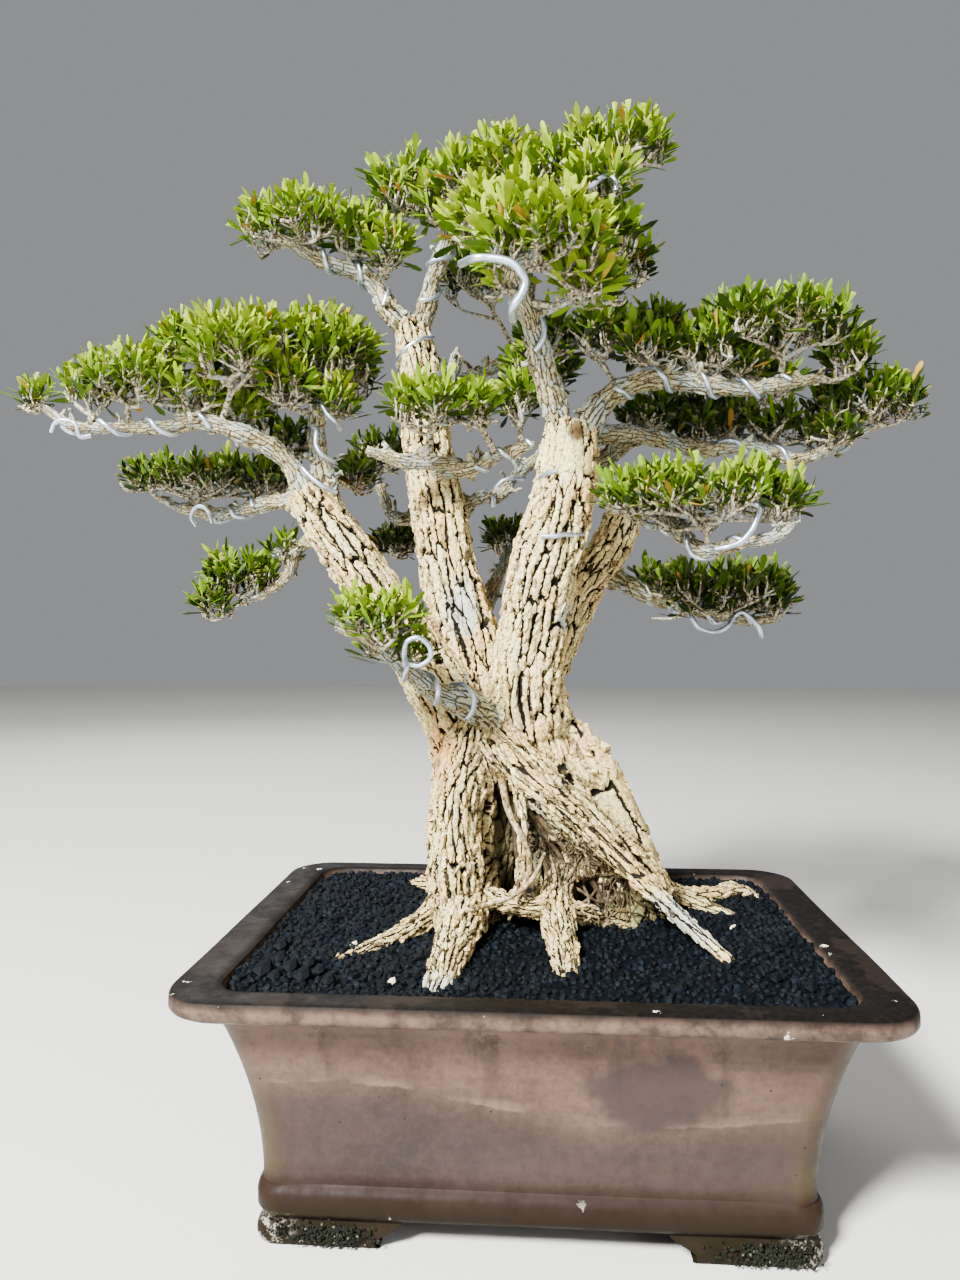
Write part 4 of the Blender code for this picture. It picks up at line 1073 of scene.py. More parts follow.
# %% Pads and shoots
PADS = {
    "apex_right": ("apex_top", (58, -33, 724), (48, 36, 30)),
    "apex": ("apex_top", (-20, 0, 715), (38, 42, 48)),
    "apex_front": ("right_apex", (5, -98, 632), (52, 42, 40)),
    "apex_left": ("centre_right", (-103, 50, 737), (42, 42, 42)),
    "top_left": ("centre_left", (-190, 35, 706), (58, 42, 32)),
    "apex_low": ("right_apex", (66, -28, 645), (24, 28, 25)),
    "left_front": ("left_long", (-225, -28, 585), (38, 48, 38)),
    "left_inner": ("left_top", (-172, 42, 602), (40, 46, 48)),
    "left_long": ("left_long", (-306, -20, 570), (46, 44, 30)),
    "left_tip": ("left_long", (-376, -25, 556), (18, 20, 16)),
    "left_low": ("left_low", (-292, 88, 512), (70, 44, 27)),
    "left_droop": ("left_droop", (-248, 62, 425), (42, 32, 32)),
    "centre": ("cross", (-78, -18, 548), (42, 32, 24)),
    "front_low": ("low_front", (-108, -72, 388), (42, 36, 26)),
    "right_inner": ("right_upper", (90, 48, 617), (40, 44, 28)),
    "right_top": ("right_upper", (180, 22, 612), (66, 52, 33)),
    "right_tip": ("right_long", (262, 62, 562), (54, 42, 27)),
    "right_middle": ("back_right", (140, 138, 573), (56, 40, 28)),
    "right_front": ("front_pad", (114, -48, 474), (68, 44, 33)),
    "right_low": ("right_low", (145, 70, 416), (68, 44, 28)),
    "back_apex": ("back_top", (2, 108, 605), (42, 42, 38)),
    "back_left": ("back_left", (-148, 172, 548), (38, 36, 30)),
    "back_low_left": ("back_left", (-132, 168, 462), (28, 34, 25)),
    "back_low": ("back_mid", (-30, 195, 470), (32, 32, 24)),
    "left_stem": ("left_top", (-150, 72, 510), (20, 24, 22)),
    "back_upper_left": ("left_top", (-178, 138, 615), (42, 38, 32)),
    "back_upper_right": ("back_right", (118, 172, 640), (48, 38, 30)),
    "back_top": ("back_top", (-55, 140, 705), (46, 40, 34)),
    "back_right_tip": ("back_right", (200, 150, 602), (42, 36, 26)),
}
# Smaller clouds between the pads: the pad that each belongs to, its centre and its half sizes
FILLS = [
    ("left_long", (-335, -22, 562), (32, 26, 18)), ("left_long", (-262, 0, 598), (36, 40, 30)),
    ("left_long", (-264, -15, 560), (38, 34, 18)), ("left_front", (-205, 15, 608), (36, 40, 32)),
    ("left_front", (-235, 20, 556), (38, 36, 22)), ("left_inner", (-196, 10, 572), (34, 34, 30)),
    ("left_inner", (-150, 42, 604), (26, 36, 38)), ("left_inner", (-160, 30, 562), (26, 30, 26)),
    ("left_stem", (-202, 42, 534), (34, 32, 24)), ("left_low", (-225, 72, 508), (36, 34, 24)),
    ("left_low", (-338, 86, 518), (32, 28, 18)), ("left_droop", (-208, 58, 448), (22, 24, 18)),
    ("left_droop", (-268, 56, 404), (24, 22, 18)), ("top_left", (-146, 42, 700), (28, 36, 30)),
    ("apex_left", (-120, 42, 686), (26, 34, 34)), ("apex_left", (-76, 30, 716), (26, 34, 38)),
    ("apex", (-58, 0, 722), (28, 36, 34)), ("apex", (16, -20, 712), (36, 36, 32)),
    ("apex_front", (-42, -45, 668), (28, 36, 32)), ("apex_front", (-20, -60, 625), (24, 30, 28)),
    ("apex_front", (30, -80, 610), (30, 30, 20)), ("apex_right", (46, -48, 690), (34, 34, 30)),
    ("apex_low", (50, -48, 655), (28, 30, 28)), ("apex_low", (42, -52, 618), (28, 30, 20)),
    ("right_inner", (8, 34, 612), (34, 34, 28)), ("right_inner", (48, 26, 610), (34, 34, 30)),
    ("right_inner", (84, 8, 596), (32, 30, 22)), ("right_top", (124, 14, 594), (42, 36, 24)),
    ("right_top", (156, 34, 584), (42, 36, 20)), ("right_top", (238, 36, 592), (30, 34, 22)),
    ("right_middle", (86, 66, 556), (36, 36, 20)), ("right_middle", (140, 88, 548), (42, 36, 20)),
    ("right_tip", (190, 74, 548), (38, 36, 20)), ("right_tip", (235, 64, 540), (36, 34, 18)),
    ("right_front", (66, -30, 476), (30, 32, 24)), ("right_front", (164, -50, 470), (30, 32, 22)),
    ("right_low", (133, 72, 402), (50, 36, 18)), ("right_low", (95, 72, 420), (26, 30, 22)),
    ("right_low", (192, 70, 404), (24, 28, 18)), ("centre", (-46, -4, 548), (24, 28, 22)),
    ("front_low", (-98, -58, 368), (34, 30, 20)), ("back_apex", (-14, 48, 566), (26, 34, 28)),
]
# How much young growth and painted light a pad's leaves get: the apex stands in the light and is painted
# lighter, low and rear pads stand in the shade and are painted darker
PAD_GROWTH_AND_LIGHT = {"apex": 1.45, "apex_front": 1.6, "apex_right": 1.45, "apex_left": 1.35, "top_left": 1.3,
          "left_front": 1.4, "left_inner": 1.2, "left_long": 1.3, "centre": 1.1, "front_low": 1.1,
          "right_inner": 0.8,
          "right_top": 0.85, "right_tip": 0.75, "right_middle": 0.6, "right_front": 0.95, "right_low": 0.55,
          "left_low": 0.7, "left_droop": 0.8, "left_stem": 0.65, "back_low": 0.5, "back_low_left": 0.5,
          "back_left": 0.6}
PLAIN_GROWTH_AND_LIGHT = 0.9
PAD_SPACING = 11.8
FILL_SPACING = 14.0
PAD_SQUARENESS = 2.7
SHOOT_INSET = 15.0
SHOOT_ROOM = 6.0
WOOD_ROOM = 3.0
INNER_SHARE = 0.25
GOLDEN_TURN = 2.39996
LEAF_REACH = 22.0
SIDE_ROOM = 13.0
LEAF_SWEEP = 25.0
SHOOT_SIZE = (0.78, 1.15)
LUSH_APEX = 1.15
BOX_MARGIN = 4.0
BOX_LOW, BOX_HIGH = [(np.array(corner) - (POT_X, POT_Y, 0.0)) / MM for corner in CAD_BOX]
WOOD = np.vstack([LINES[name] for name in list(TRUNKS) + list(BRANCHES)])


def cloud_shoots(seed, centre, half, spacing, taken):
    """The shoot ends of one cloud: place, direction, height in the cloud from 0 to 1, and size."""
    rng = random.Random(seed)
    centre, half = np.array(centre, float), np.array(half, float)
    girth = (half[0] * half[1] + half[0] * half[2] + half[1] * half[2]) / 3
    count = round(2.5 * math.pi * girth / spacing ** 2)
    found = []
    for number in range(count):
        height = 0.97 - 1.3 * (number + rng.uniform(0.2, 0.8)) / count
        turn = number * GOLDEN_TURN + rng.uniform(-0.5, 0.5)
        level = (1 - abs(height) ** PAD_SQUARENESS) ** (1 / PAD_SQUARENESS)
        out = np.array([level * math.cos(turn), level * math.sin(turn), height])
        depth = rng.uniform(0.4, 0.8) if rng.random() < INNER_SHARE else rng.uniform(0.85, 1.14)
        foot = centre + out * (half - np.minimum(SHOOT_INSET, half * 0.45)) * depth
        aim = unit(out / half * half.min() * 0.6 + (rng.uniform(-0.35, 0.35), rng.uniform(-0.35, 0.35), 0.9))
        end = foot + aim * LEAF_REACH
        inside = (end > BOX_LOW + BOX_MARGIN).all() and (end < BOX_HIGH - BOX_MARGIN).all()
        clear = (np.linalg.norm(WOOD[:, :3] - foot, axis=1) - WOOD[:, 3]).min() > WOOD_ROOM
        alone = not taken or np.linalg.norm(np.array(taken) - foot, axis=1).min() > SHOOT_ROOM
        room = min((foot - BOX_LOW).min(), (BOX_HIGH - foot).min())
        if inside and clear and alone and room > SIDE_ROOM:
            size = min(rng.uniform(*SHOOT_SIZE), room / LEAF_SWEEP)
            found.append((*foot, *aim, (height + 0.35) / 1.3, size))
            taken.append(foot)
    return np.array(found).reshape(-1, 8)


CLOUDS = [(name, carrier, centre, half, PAD_SPACING) for name, (carrier, centre, half) in PADS.items()]
CLOUDS += [(name, None, centre, half, FILL_SPACING) for name, centre, half in FILLS]
taken = []
CLOUD_ROWS = [cloud_shoots(f"cloud {k}", centre, half, spacing, taken)
              for k, (name, carrier, centre, half, spacing) in enumerate(CLOUDS)]
SHOOTS = {name: np.vstack([rows for rows, cloud in zip(CLOUD_ROWS, CLOUDS) if cloud[0] == name])
          for name in PADS}
SHOOTS["apex_front"][:, 7] *= LUSH_APEX
print("clouds:", len(CLOUDS), "shoots:", sum(len(rows) for rows in CLOUD_ROWS))

# %% [markdown]
# ## Twigs
# A line with a thickness at each point is all that a twig needs. Geometry Nodes turn all the lines into
# closed tubes at once: the mesh's edges become curves, a circle is swept along them, and the thickness
# noted on each point scales the circle. The same small tree of nodes makes the wires later on.

# %% A node tree that sweeps a circle along lines


def sweep_tree():
    tree, given = new_tree("sweep_lines", "Lines", "Tubes", {"Sides": 6})
    lines = add("GeometryNodeMeshToCurve", {"Mesh": given["Lines"]}).outputs[0]
    ring = add("GeometryNodeCurvePrimitiveCircle", {"Resolution": given["Sides"], "Radius": 1.0}).outputs[0]
    swept = add("GeometryNodeCurveToMesh", {"Curve": lines, "Profile Curve": ring, "Scale": noted("thick"),
                                            "Fill Caps": True}).outputs[0]
    end_tree(smooth(swept), given["Finish"])
    return tree


def lines_object(name, paths):
    """Open lines with a thickness in metres noted on each point."""
    edges = []
    start = 0
    for path in paths:
        edges += [(start + k, start + k + 1) for k in range(len(path) - 1)]
        start += len(path)
    mesh = mesh_from(name, np.vstack([path[:, :3] for path in paths]), [], edges)
    note(mesh, thick=np.concatenate([path[:, 3] for path in paths]) * MM)
    return link(name, mesh)


SWEEP = sweep_tree()
print("node tree:", SWEEP.name, len(SWEEP.nodes), "nodes")

# %% Side branches and twigs in each pad
SIDE_BRANCHES = (3, 8)
SIDE_LOW = 0.45
SIDE_RADIUS = (2.0, 1.1)
RISER_RADIUS = 3.4
TWIG_RADIUS = (1.1, 0.65)
ALL_BRANCHES = np.vstack(list(BRANCH_LINES.values()))


def cloud_skeleton(cloud, rng):
    """The riser from the carrying branch and the side branches that fan out low in the cloud."""
    carrier, centre, half = cloud[1], np.array(cloud[2], float), np.array(cloud[3], float)
    line = BRANCH_LINES[carrier] if carrier else ALL_BRANCHES
    hub = centre - (0, 0, half[2] * SIDE_LOW)
    near = line[np.argmin(np.linalg.norm(line[:, :3] - hub, axis=1))]
    middle = 0.5 * (near[:3] + hub) + [rng.uniform(-5, 5) for _ in range(3)]
    thick = min(RISER_RADIUS, near[3] * 0.7)
    paths = [smooth_path([(*near[:3], thick), (*middle, thick * 0.8), (*hub, thick * 0.7)], 4)]
    count = max(SIDE_BRANCHES[0], min(SIDE_BRANCHES[1], round((half[0] + half[1]) / 14)))
    for number in range(count):
        turn = 2 * math.pi * (number + rng.uniform(-0.3, 0.3)) / count
        reach = np.array([math.cos(turn), math.sin(turn), 0.0]) * half * rng.uniform(0.5, 0.78)
        start = paths[0][rng.randrange(4, len(paths[0])), :3]
        end = hub + reach + (0, 0, half[2] * rng.uniform(-0.1, 0.6))
        bend = 0.5 * (start + end) + [rng.uniform(-6, 6), rng.uniform(-6, 6), rng.uniform(-6, 3)]
        paths.append(smooth_path([(*start, SIDE_RADIUS[0]), (*bend, 1.6), (*end, SIDE_RADIUS[1])], 4))
    return paths


def cloud_twigs(number, cloud, rows):
    """The cloud's side branches, and a twig to each shoot from the nearest place on them, rising steeply."""
    rng = random.Random(f"twigs {number}")
    skeleton = cloud_skeleton(cloud, rng)
    places = np.vstack(skeleton)
    twigs = []
    for row in rows:
        foot, aim = row[:3], row[3:6]
        below = foot - aim * 10 - (0, 0, 6)
        start = places[np.argmin(np.linalg.norm(places[:, :3] - below, axis=1))]
        bend = 0.45 * start[:3] + 0.55 * foot
        bend += [rng.uniform(-3.5, 3.5), rng.uniform(-3.5, 3.5), rng.uniform(-6, 0)]
        twigs.append(np.array([(*start[:3], TWIG_RADIUS[0]), (*bend, rng.uniform(0.8, 1.1)),
                               (*(foot - aim * 5), 0.85), (*(foot + aim * 2), TWIG_RADIUS[1])]))
    return skeleton, twigs


# Thin roots that hang free in and before the hollow
ROOTLETS = [
    [(-26, -18, 274, 3.0), (-20, -24, 250, 2.6), (-8, -28, 228, 2.4), (-5, -26, 208, 2.2), (-14, -22, 186, 2.0),
     (-20, -18, 170, 1.4)],
    [(-58, -44, 181, 2.2), (-40, -42, 186, 2.0), (-18, -36, 192, 2.0), (-2, -28, 204, 1.8), (6, -20, 220, 1.2)],
    [(-2, -26, 176, 1.2), (6, -24, 188, 1.3), (14, -18, 200, 1.3), (10, -10, 216, 1.0)],
    [(-6, -2, 248, 2.0), (8, 2, 226, 2.0), (22, 6, 204, 1.8), (30, 8, 180, 1.6), (34, 6, 160, 1.2)],
    [(0, -2, 244, 2.4), (20, 2, 220, 2.4), (40, 4, 196, 2.2), (54, 6, 170, 1.8)],
    [(-14, 4, 250, 2.6), (-16, 8, 220, 2.4), (-10, 8, 190, 2.2), (-8, 4, 160, 1.8)],
    [(4, -30, 172, 1.4), (6, -34, 160, 1.2), (8, -36, 153, 0.8)],
    [(22, 6, 192, 1.2), (34, -2, 187, 1.3), (44, 0, 180, 1.1), (53, 4, 177, 0.8)],
    [(29, 8, 196, 1.1), (37, 0, 187, 1.2), (39, -1, 176, 1.1), (35, 3, 166, 0.8)],
    [(49, 8, 192, 1.0), (41, 1, 183, 1.2), (32, 0, 176, 1.1), (25, 5, 169, 0.8)],
]
FIBRES = 300
FIBRE_RADIUS = (0.4, 0.8)


def surface_tree(things):
    """One search tree over the surfaces of several pieces."""
    points, faces = [], []
    for thing in things:
        start = len(points)
        points += [corner.co.copy() for corner in thing.data.vertices]
        faces += [tuple(start + k for k in face.vertices) for face in thing.data.polygons]
    return BVHTree.FromPolygons(points, faces)


def matted_fibres():
    """Hair roots that lie over each other on the wood low in the hollow. Rays from the front find the wood."""
    rng = random.Random(17)
    fibres = []
    for _ in range(FIBRES):
        x, z = rng.triangular(-20, 74, 34), rng.uniform(160, 236)
        slope = rng.uniform(-0.9, 0.9)
        path = []
        for step in range(6):
            hit = SKIN.ray_cast(Vector(place((x, -90, z))), Vector((0, 1, 0)), 0.19)
            y = (hit[0].y - POT_Y) / MM if hit[0] else 0.0
            if -22 < y < 45 and z > 156:
                path.append((x, y - rng.uniform(0.3, 3.0), z, rng.uniform(*FIBRE_RADIUS)))
            slope += rng.uniform(-0.5, 0.5)
            x, z = x + 4.5 * math.sin(slope), z - 4.5 * math.cos(slope)
        if len(path) > 2 and max(abs(a[1] - b[1]) for a, b in zip(path, path[1:])) < 9:
            fibres.append(smooth_path(path, 2))
    return fibres


def root_finish():
    """Dry roots without bark: greyish brown, flecked and matt, painted darker deeper in the hollow as shade."""
    made, shader, where = new_finish("dry_root_fibre", 0.9, 0.2)
    fleck = noise(where, 260.0, 3.0, 0.7)
    colour = colour_ramp(fleck, [(0.35, "#2A1F12"), (0.5, "#8C7850"), (0.65, "#D2C29C")])
    # Painted shade: fibres further back in the hollow are painted darker
    deep = ramp(add("ShaderNodeSeparateXYZ", {0: where}).outputs[1], POT_Y - 0.026, POT_Y + 0.002, 0.0, 0.9)
    feed(shader["Base Color"], blend(deep, colour, "#2C2014"))
    return made


skeleton_lines = []
twig_lines = []
for number, (cloud, rows) in enumerate(zip(CLOUDS, CLOUD_ROWS)):
    skeleton, twigs = cloud_twigs(number, cloud, rows)
    skeleton_lines += [knobbly(path, 7) for path in skeleton]
    twig_lines += twigs


def twig_finish():
    """Thin bark that is still smooth: pale where it is worn, brown in its folds, with a little lichen."""
    made, shader, where = new_finish("young_twig_bark", 0.9, 0.25)
    fleck = noise(where, 420.0, 3.0, 0.7)
    colour = colour_ramp(fleck, [(0.38, "#221A11"), (0.47, "#746A50"), (0.56, "#ADA387"), (0.7, "#CFCAB8")])
    crust = ramp(noise(where, 70.0, 3.0, 0.7), 0.56, 0.64, 0.0, 0.7)
    bump(shader, 0.6, 0.6, fleck)
    feed(shader["Base Color"], blend(crust, colour, "#8FA39C"))
    return made


twig_bark = twig_finish()
SKIN = surface_tree([trunk, branches])
root_lines = [smooth_path(path, 5) for path in ROOTLETS] + matted_fibres()
for name, paths, sides, finish in (("rootlets", root_lines, 5, root_finish()),
                                   ("side_branches", skeleton_lines, 7, twig_bark),
                                   ("twigs", twig_lines, 4, twig_bark)):
    dress(run_tree(lines_object(name, paths), SWEEP, Sides=sides, Finish=finish), "bark")

# %% [markdown]
# ## Leaves
# Boxwood leaves sit in opposite pairs, each pair turned a quarter against the one below. The lowest pair
# of a shoot spreads widest and the youngest stands almost upright. Three leaves are modelled, a broad one,
# a narrow one and one that the shears cut short, each as a thin closed shell of under 24 triangles with a
# raised midrib. Geometry Nodes set them round every shoot: each shoot point is duplicated once for each
# leaf, and the number of the copy gives its pair, its side and its tilt.

# %% Three leaves
LEAF_LENGTH = 21.5
LEAF_RIB = 0.75
LEAF_CURL = 1.3
CUT_FROM = 0.76
LEAF_SHAPES = {
    "leaf_broad": (2.9, [(0.35, 0.6), (0.68, 1.0), (0.9, 0.74)], 1.0),
    "leaf_narrow": (2.3, [(0.36, 0.75), (0.76, 1.0)], 1.0),
    "leaf_cut": (2.9, [(0.3, 0.55), (0.58, 0.95), (0.78, 1.0)], 0.79),
}


def leaf_points(half_width, stations, end):
    """A spatulate leaf that grows along +Z from the origin. Its upper face looks towards -Y."""
    points = [(0.0, 0.0, 0.0)]
    for share, width in stations:
        curl = LEAF_CURL * share * share
        side = half_width * width
        row = ((-side, curl), (0.0, curl - LEAF_RIB * width), (side, curl))
        points += [(x, y, share * LEAF_LENGTH) for x, y in row]
    points.append((0.0, LEAF_CURL * end * end, end * LEAF_LENGTH))
    return points


def leaf_mesh(name, half_width, stations, end):
    """The upper face is folded along its midrib and the lower one is flat. Rim and rib are kept crisp."""
    points = leaf_points(half_width, stations, end)
    tip = len(points) - 1
    faces = [(0, 1, 2), (0, 2, 3), (0, 3, 1)]
    for row in range(len(stations) - 1):
        a, b = 3 * row + 1, 3 * row + 4
        faces += [(a, b, b + 1, a + 1), (a + 1, b + 1, b + 2, a + 2), (a + 2, b + 2, b, a)]
    last = tip - 3
    faces += [(last, tip, last + 1), (last + 1, tip, last + 2), (last + 2, tip, last)]
    mesh = mesh_from(name, points, faces, pattern=True)
    for edge in mesh.edges:
        rims = [index in (0, tip) or index % 3 != 2 for index in edge.vertices]
        ribs = [index in (0, tip) or index % 3 == 2 for index in edge.vertices]
        edge.use_edge_sharp = all(rims) or all(ribs)
    for face in mesh.polygons:
        face.use_smooth = True
    note(mesh, across=[abs(x) / half_width for x, _, _ in points], along=[z / LEAF_LENGTH for _, _, z in points],
         cut=[float(end < 1 and z > CUT_FROM * LEAF_LENGTH) for _, _, z in points])
    return mesh


LEAF_KINDS = pattern_set("leaf_kinds", [leaf_mesh(name, *shape) for name, shape in LEAF_SHAPES.items()])

# %% A node tree that sets leaves round shoots


def note_each(copies, name, value):
    """Notes a number on each set copy, for its finish to read."""
    return add("GeometryNodeStoreNamedAttribute", {"Geometry": copies, "Name": name, "Value": value},
               data_type="FLOAT", domain="INSTANCE").outputs[0]


def shoot_tree():
    tree, given = new_tree("leafy_shoots", "Shoots", "Leaves", {
        "Leaf Kinds": "Collection", "Leaf Count": 7, "Pair Spacing": 3.2 * MM, "Widest Spread": math.radians(62),
        "Narrowest Spread": math.radians(14), "Seed": 1})
    aim = noted("aim", "FLOAT_VECTOR")
    copies = add("GeometryNodeDuplicateElements", {"Geometry": given["Shoots"], "Amount": given["Leaf Count"]},
                 domain="POINT").outputs
    number = copies["Duplicate Index"]

    def stray_by(low, high, shift):
        return draw(low, high, plus(given["Seed"], shift))

    pair = maths("FLOOR", over(number, 2.0))
    side = maths("MODULO", number, 2.0)
    last_pair = minus(over(given["Leaf Count"], 2.0), 1.0)
    level = smaller(over(pair, last_pair), 1.0)
    around = times_plus(side, math.pi, times(pair, math.pi / 2))
    around = plus(around, plus(noted("turn"), stray_by(-0.35, 0.35, 1)))
    spread = ramp(level, 0.0, 1.0, given["Widest Spread"], given["Narrowest Spread"])
    lean = times(plus(spread, stray_by(-0.22, 0.22, 2)), -1.0)
    angles = add("ShaderNodeCombineXYZ", {"X": lean, "Y": stray_by(-0.3, 0.3, 3), "Z": around}).outputs[0]
    upright = add("FunctionNodeAlignRotationToVector", {"Vector": aim}, axis="Z").outputs[0]
    turned = add("FunctionNodeRotateRotation", {0: turned_by(angles), 1: upright},
                 rotation_space="GLOBAL").outputs[0]
    shift = scaled(aim, times(minus(pair, last_pair), given["Pair Spacing"]))
    seated = add("GeometryNodeSetPosition", {"Geometry": copies[0], "Offset": shift}).outputs[0]
    size = times(times(ramp(level, 0.3, 1.0, 1.0, 0.78), noted("size")), stray_by(0.72, 1.08, 4))
    kind = maths("FLOOR", ramp(stray_by(0.0, 1.0, 6), 0.0, 1.0, 0.0, 2.99))
    leaves = set_on(seated, given["Leaf Kinds"], kind, turned, size)
    leaves = note_each(note_each(leaves, "shade", stray_by(0.0, 1.0, 5)), "level", level)
    end_tree(leaves, given["Finish"])
    return tree


def shoots_object(name, rows):
    """Loose points with each shoot's aim, turn, size, height in its pad, and the pad's growth and painted light.
    """
    rng = random.Random(name)
    mesh = mesh_from(name, rows[:, :3], [])
    note(mesh, aim=rows[:, 3:6], height=rows[:, 6], size=rows[:, 7],
         vigour=np.full(len(rows), PAD_GROWTH_AND_LIGHT.get(name.removeprefix("foliage_"), PLAIN_GROWTH_AND_LIGHT)),
         turn=[rng.uniform(0, math.pi) for _ in rows])
    return link(name, mesh)


SHOOT_TREE = shoot_tree()
print("node tree:", SHOOT_TREE.name, len(SHOOT_TREE.nodes), "nodes")

# %% [markdown]
# ## The leaf's finish
# A boxwood leaf is leathery, with a thin wax that gives a soft broad gloss. New leaves at the tips and on
# top of a pad are yellow-green, old ones inside are dark, and a few turn orange before they drop. The same
# colours also carry painted light: leaves high in a pad and on the apex pads are painted lighter, and leaves
# low and inside and on the low and rear pads are painted darker, as painted shade. Light comes through the
# young ones, so a third of the shader is translucent.

# %% Leaf material


def leaf_finish():
    made, shader, where = new_finish("waxy_boxwood_leaf", 0.48, 0.15)
    height, level, shade, across, along, cut = [
        attribute(name) for name in ("height", "level", "shade", "across", "along", "cut")]
    # Young growth mixed with painted light: high leaves and lit pads are painted lighter, low and shaded ones
    # darker
    leaf_growth_and_light = times_plus(height, 0.6, times(shade, 0.5))
    leaf_growth_and_light = times_plus(level, 0.3, leaf_growth_and_light)
    vigour = attribute("vigour")
    leaf_growth_and_light = times(leaf_growth_and_light, times_plus(vigour, 0.5, 0.5))
    leaf_growth_and_light = times_plus(minus(vigour, 1.0), 0.4, leaf_growth_and_light)
    green = colour_ramp(ramp(leaf_growth_and_light, 0.15, 1.35), [
        (0.0, "#0D1A03"), (0.25, "#294304"), (0.5, "#648A04"), (0.75, "#82A004"), (1.0, "#98AE06")])
    # The midrib and the foot are pale, a few leaves turn, a cut end dries, and dull patches lie on the blade
    green = coats(
        green, (ramp(across, 0.0, 0.3, 0.3, 0.0), "#AEC22E"), (ramp(along, 0.02, 0.3, 0.5, 0.0), "#92961C"),
        (ramp(shade, 0.985, 0.992, 0.0, 0.8), "#B9812F"), (times(cut, 0.4), "#C2B464"),
        (ramp(noise(where, 260.0, 2.0), 0.35, 0.65, 0.0, 0.25), "#2F3F0C"))
    feed(shader["Base Color"], green)
    through = add("ShaderNodeBsdfTranslucent", {"Color": green}).outputs[0]
    nodes = made.node_tree.nodes
    both = add("ShaderNodeMixShader", {0: 0.35, 1: nodes["Principled BSDF"].outputs[0], 2: through}).outputs[0]
    feed(nodes["Material Output"].inputs["Surface"], both)
    return made


LEAF_FINISH = leaf_finish()
for order, (name, rows) in enumerate(SHOOTS.items()):
    foliage = run_tree(shoots_object("foliage_" + name, rows), SHOOT_TREE, LeafKinds=LEAF_KINDS, Seed=order * 10,
                       Finish=LEAF_FINISH)
    dress(foliage, "leaf", "leaves_" + name)

# %% [markdown]
# ## Lava grit
# The soil is crushed lava, blue-black, in grains of 3 to 5 mm with a few coarse lumps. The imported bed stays
# underneath. Points are strewn over its upward faces, never closer than a grain's width, and one of four
# rough lumps of 20 triangles is set on each with its own turn and size.

# %% Grains
GRAIN_KINDS = 4
GRAIN_SPACING = 4.3
GRAIN_SIZE = (1.9, 3.7)
# The size that marks a pale pebble among the lumps, and the height of the bed's top
PEBBLE = 2.75
LUMPS = [(-176, -108, 7.0), (-160, -100, 5.5), (-172, -84, 5.0), (-148, -116, 6.0), (-150, -92, 4.6),
         (-178, -60, 5.2), (-130, -122, 4.8), (170, -112, 5.0), (152, -98, 4.4), (170, 60, 5.0),
         (-120, 112, 5.2), (-176, 20, 4.8), (90, -118, 4.5), (-92, -96, 4.4), (-166, -116, 4.6),
         (-140, -104, 4.2), (-90, -119, PEBBLE), (-128, -52, PEBBLE), (146, 4, PEBBLE)]
GRIT_TOP = 159.0


def grain_mesh(name, seed):
    """A rough lump of about one millimetre radius."""
    shape = bmesh.new()
    bmesh.ops.create_icosphere(shape, subdivisions=1, radius=MM)
    rng = random.Random(seed)
    for corner in shape.verts:
        corner.co *= rng.uniform(0.72, 1.22)
    mesh = bpy.data.meshes.new(name)
    shape.to_mesh(mesh)
    shape.free()
    return mesh


def grit_tree():
    tree, given = new_tree("strewn_grit", "Bed", "Grit", {
        "Grains": "Collection", "Grain Spacing": GRAIN_SPACING * MM, "Smallest": GRAIN_SIZE[0],
        "Largest": GRAIN_SIZE[1]})
    lump = noted("lump")
    strewn = add("GeometryNodeDistributePointsOnFaces", {
        "Mesh": given["Bed"], "Distance Min": given["Grain Spacing"], "Density Max": 140000.0, "Seed": 4},
        distribute_method="POISSON").outputs[0]
    lumps = add("GeometryNodeMeshToPoints", {"Mesh": given["Bed"],
                                             "Selection": maths("GREATER_THAN", lump, 0.5)}).outputs[0]
    both = add("GeometryNodeJoinGeometry")
    for points in (strewn, lumps):
        feed(both.inputs[0], points)
    size = larger(draw(given["Smallest"], given["Largest"], 5), lump)
    turn = turned_by(draw((0.0, 0.0, 0.0), (6.3, 6.3, 6.3), 7, "FLOAT_VECTOR"))
    grains = set_on(both.outputs[0], given["Grains"], draw(0, GRAIN_KINDS - 1, 6, "INT"), turn, size)
    end_tree(note_each(grains, "shade", draw(0.0, 1.0, 8)), given["Finish"])
    return tree


def grit_bed():
    """A copy of the bed's upward faces, and loose points for the lumps."""
    soil = frame["nodes"]["soil"]
    shape = bmesh.new()
    shape.from_mesh(soil.data)
    shape.transform(soil.matrix_world)
    bmesh.ops.delete(shape, geom=[face for face in shape.faces if face.normal.z < 0.5], context="FACES")
    sizes = {}
    for x, y, size in LUMPS:
        corner = shape.verts.new(place((x, y, GRIT_TOP + size * 0.5)))
        sizes[corner] = size
    shape.verts.index_update()
    marks = [sizes.get(corner, 0.0) for corner in shape.verts]
    mesh = bpy.data.meshes.new("grit_bed")
    shape.to_mesh(mesh)
    shape.free()
    note(mesh, lump=marks, pebble=[float(mark == PEBBLE) for mark in marks])
    return mesh


def grit_finish(name):
    """Black glassy lava with dust in its pores: nearly no colour, and a dull sparkle on some faces."""
    made, shader, where = new_finish(name, 0.62, 0.08)
    pores = noise(where, 700.0, 3.0, 0.7)
    colour = colour_ramp(pores, [(0.35, "#000102"), (0.6, "#02060B"), (0.8, "#0B121B")])
    bump(shader, 0.8, 0.6, pores)
    feed(shader["Base Color"], coats(colour, (ramp(attribute("shade"), 0.7, 1.0, 0.0, 0.6), "#10171F"),
                                     (maths("GREATER_THAN", attribute("pebble"), 0.5), "#CFC5A6")))
    return made


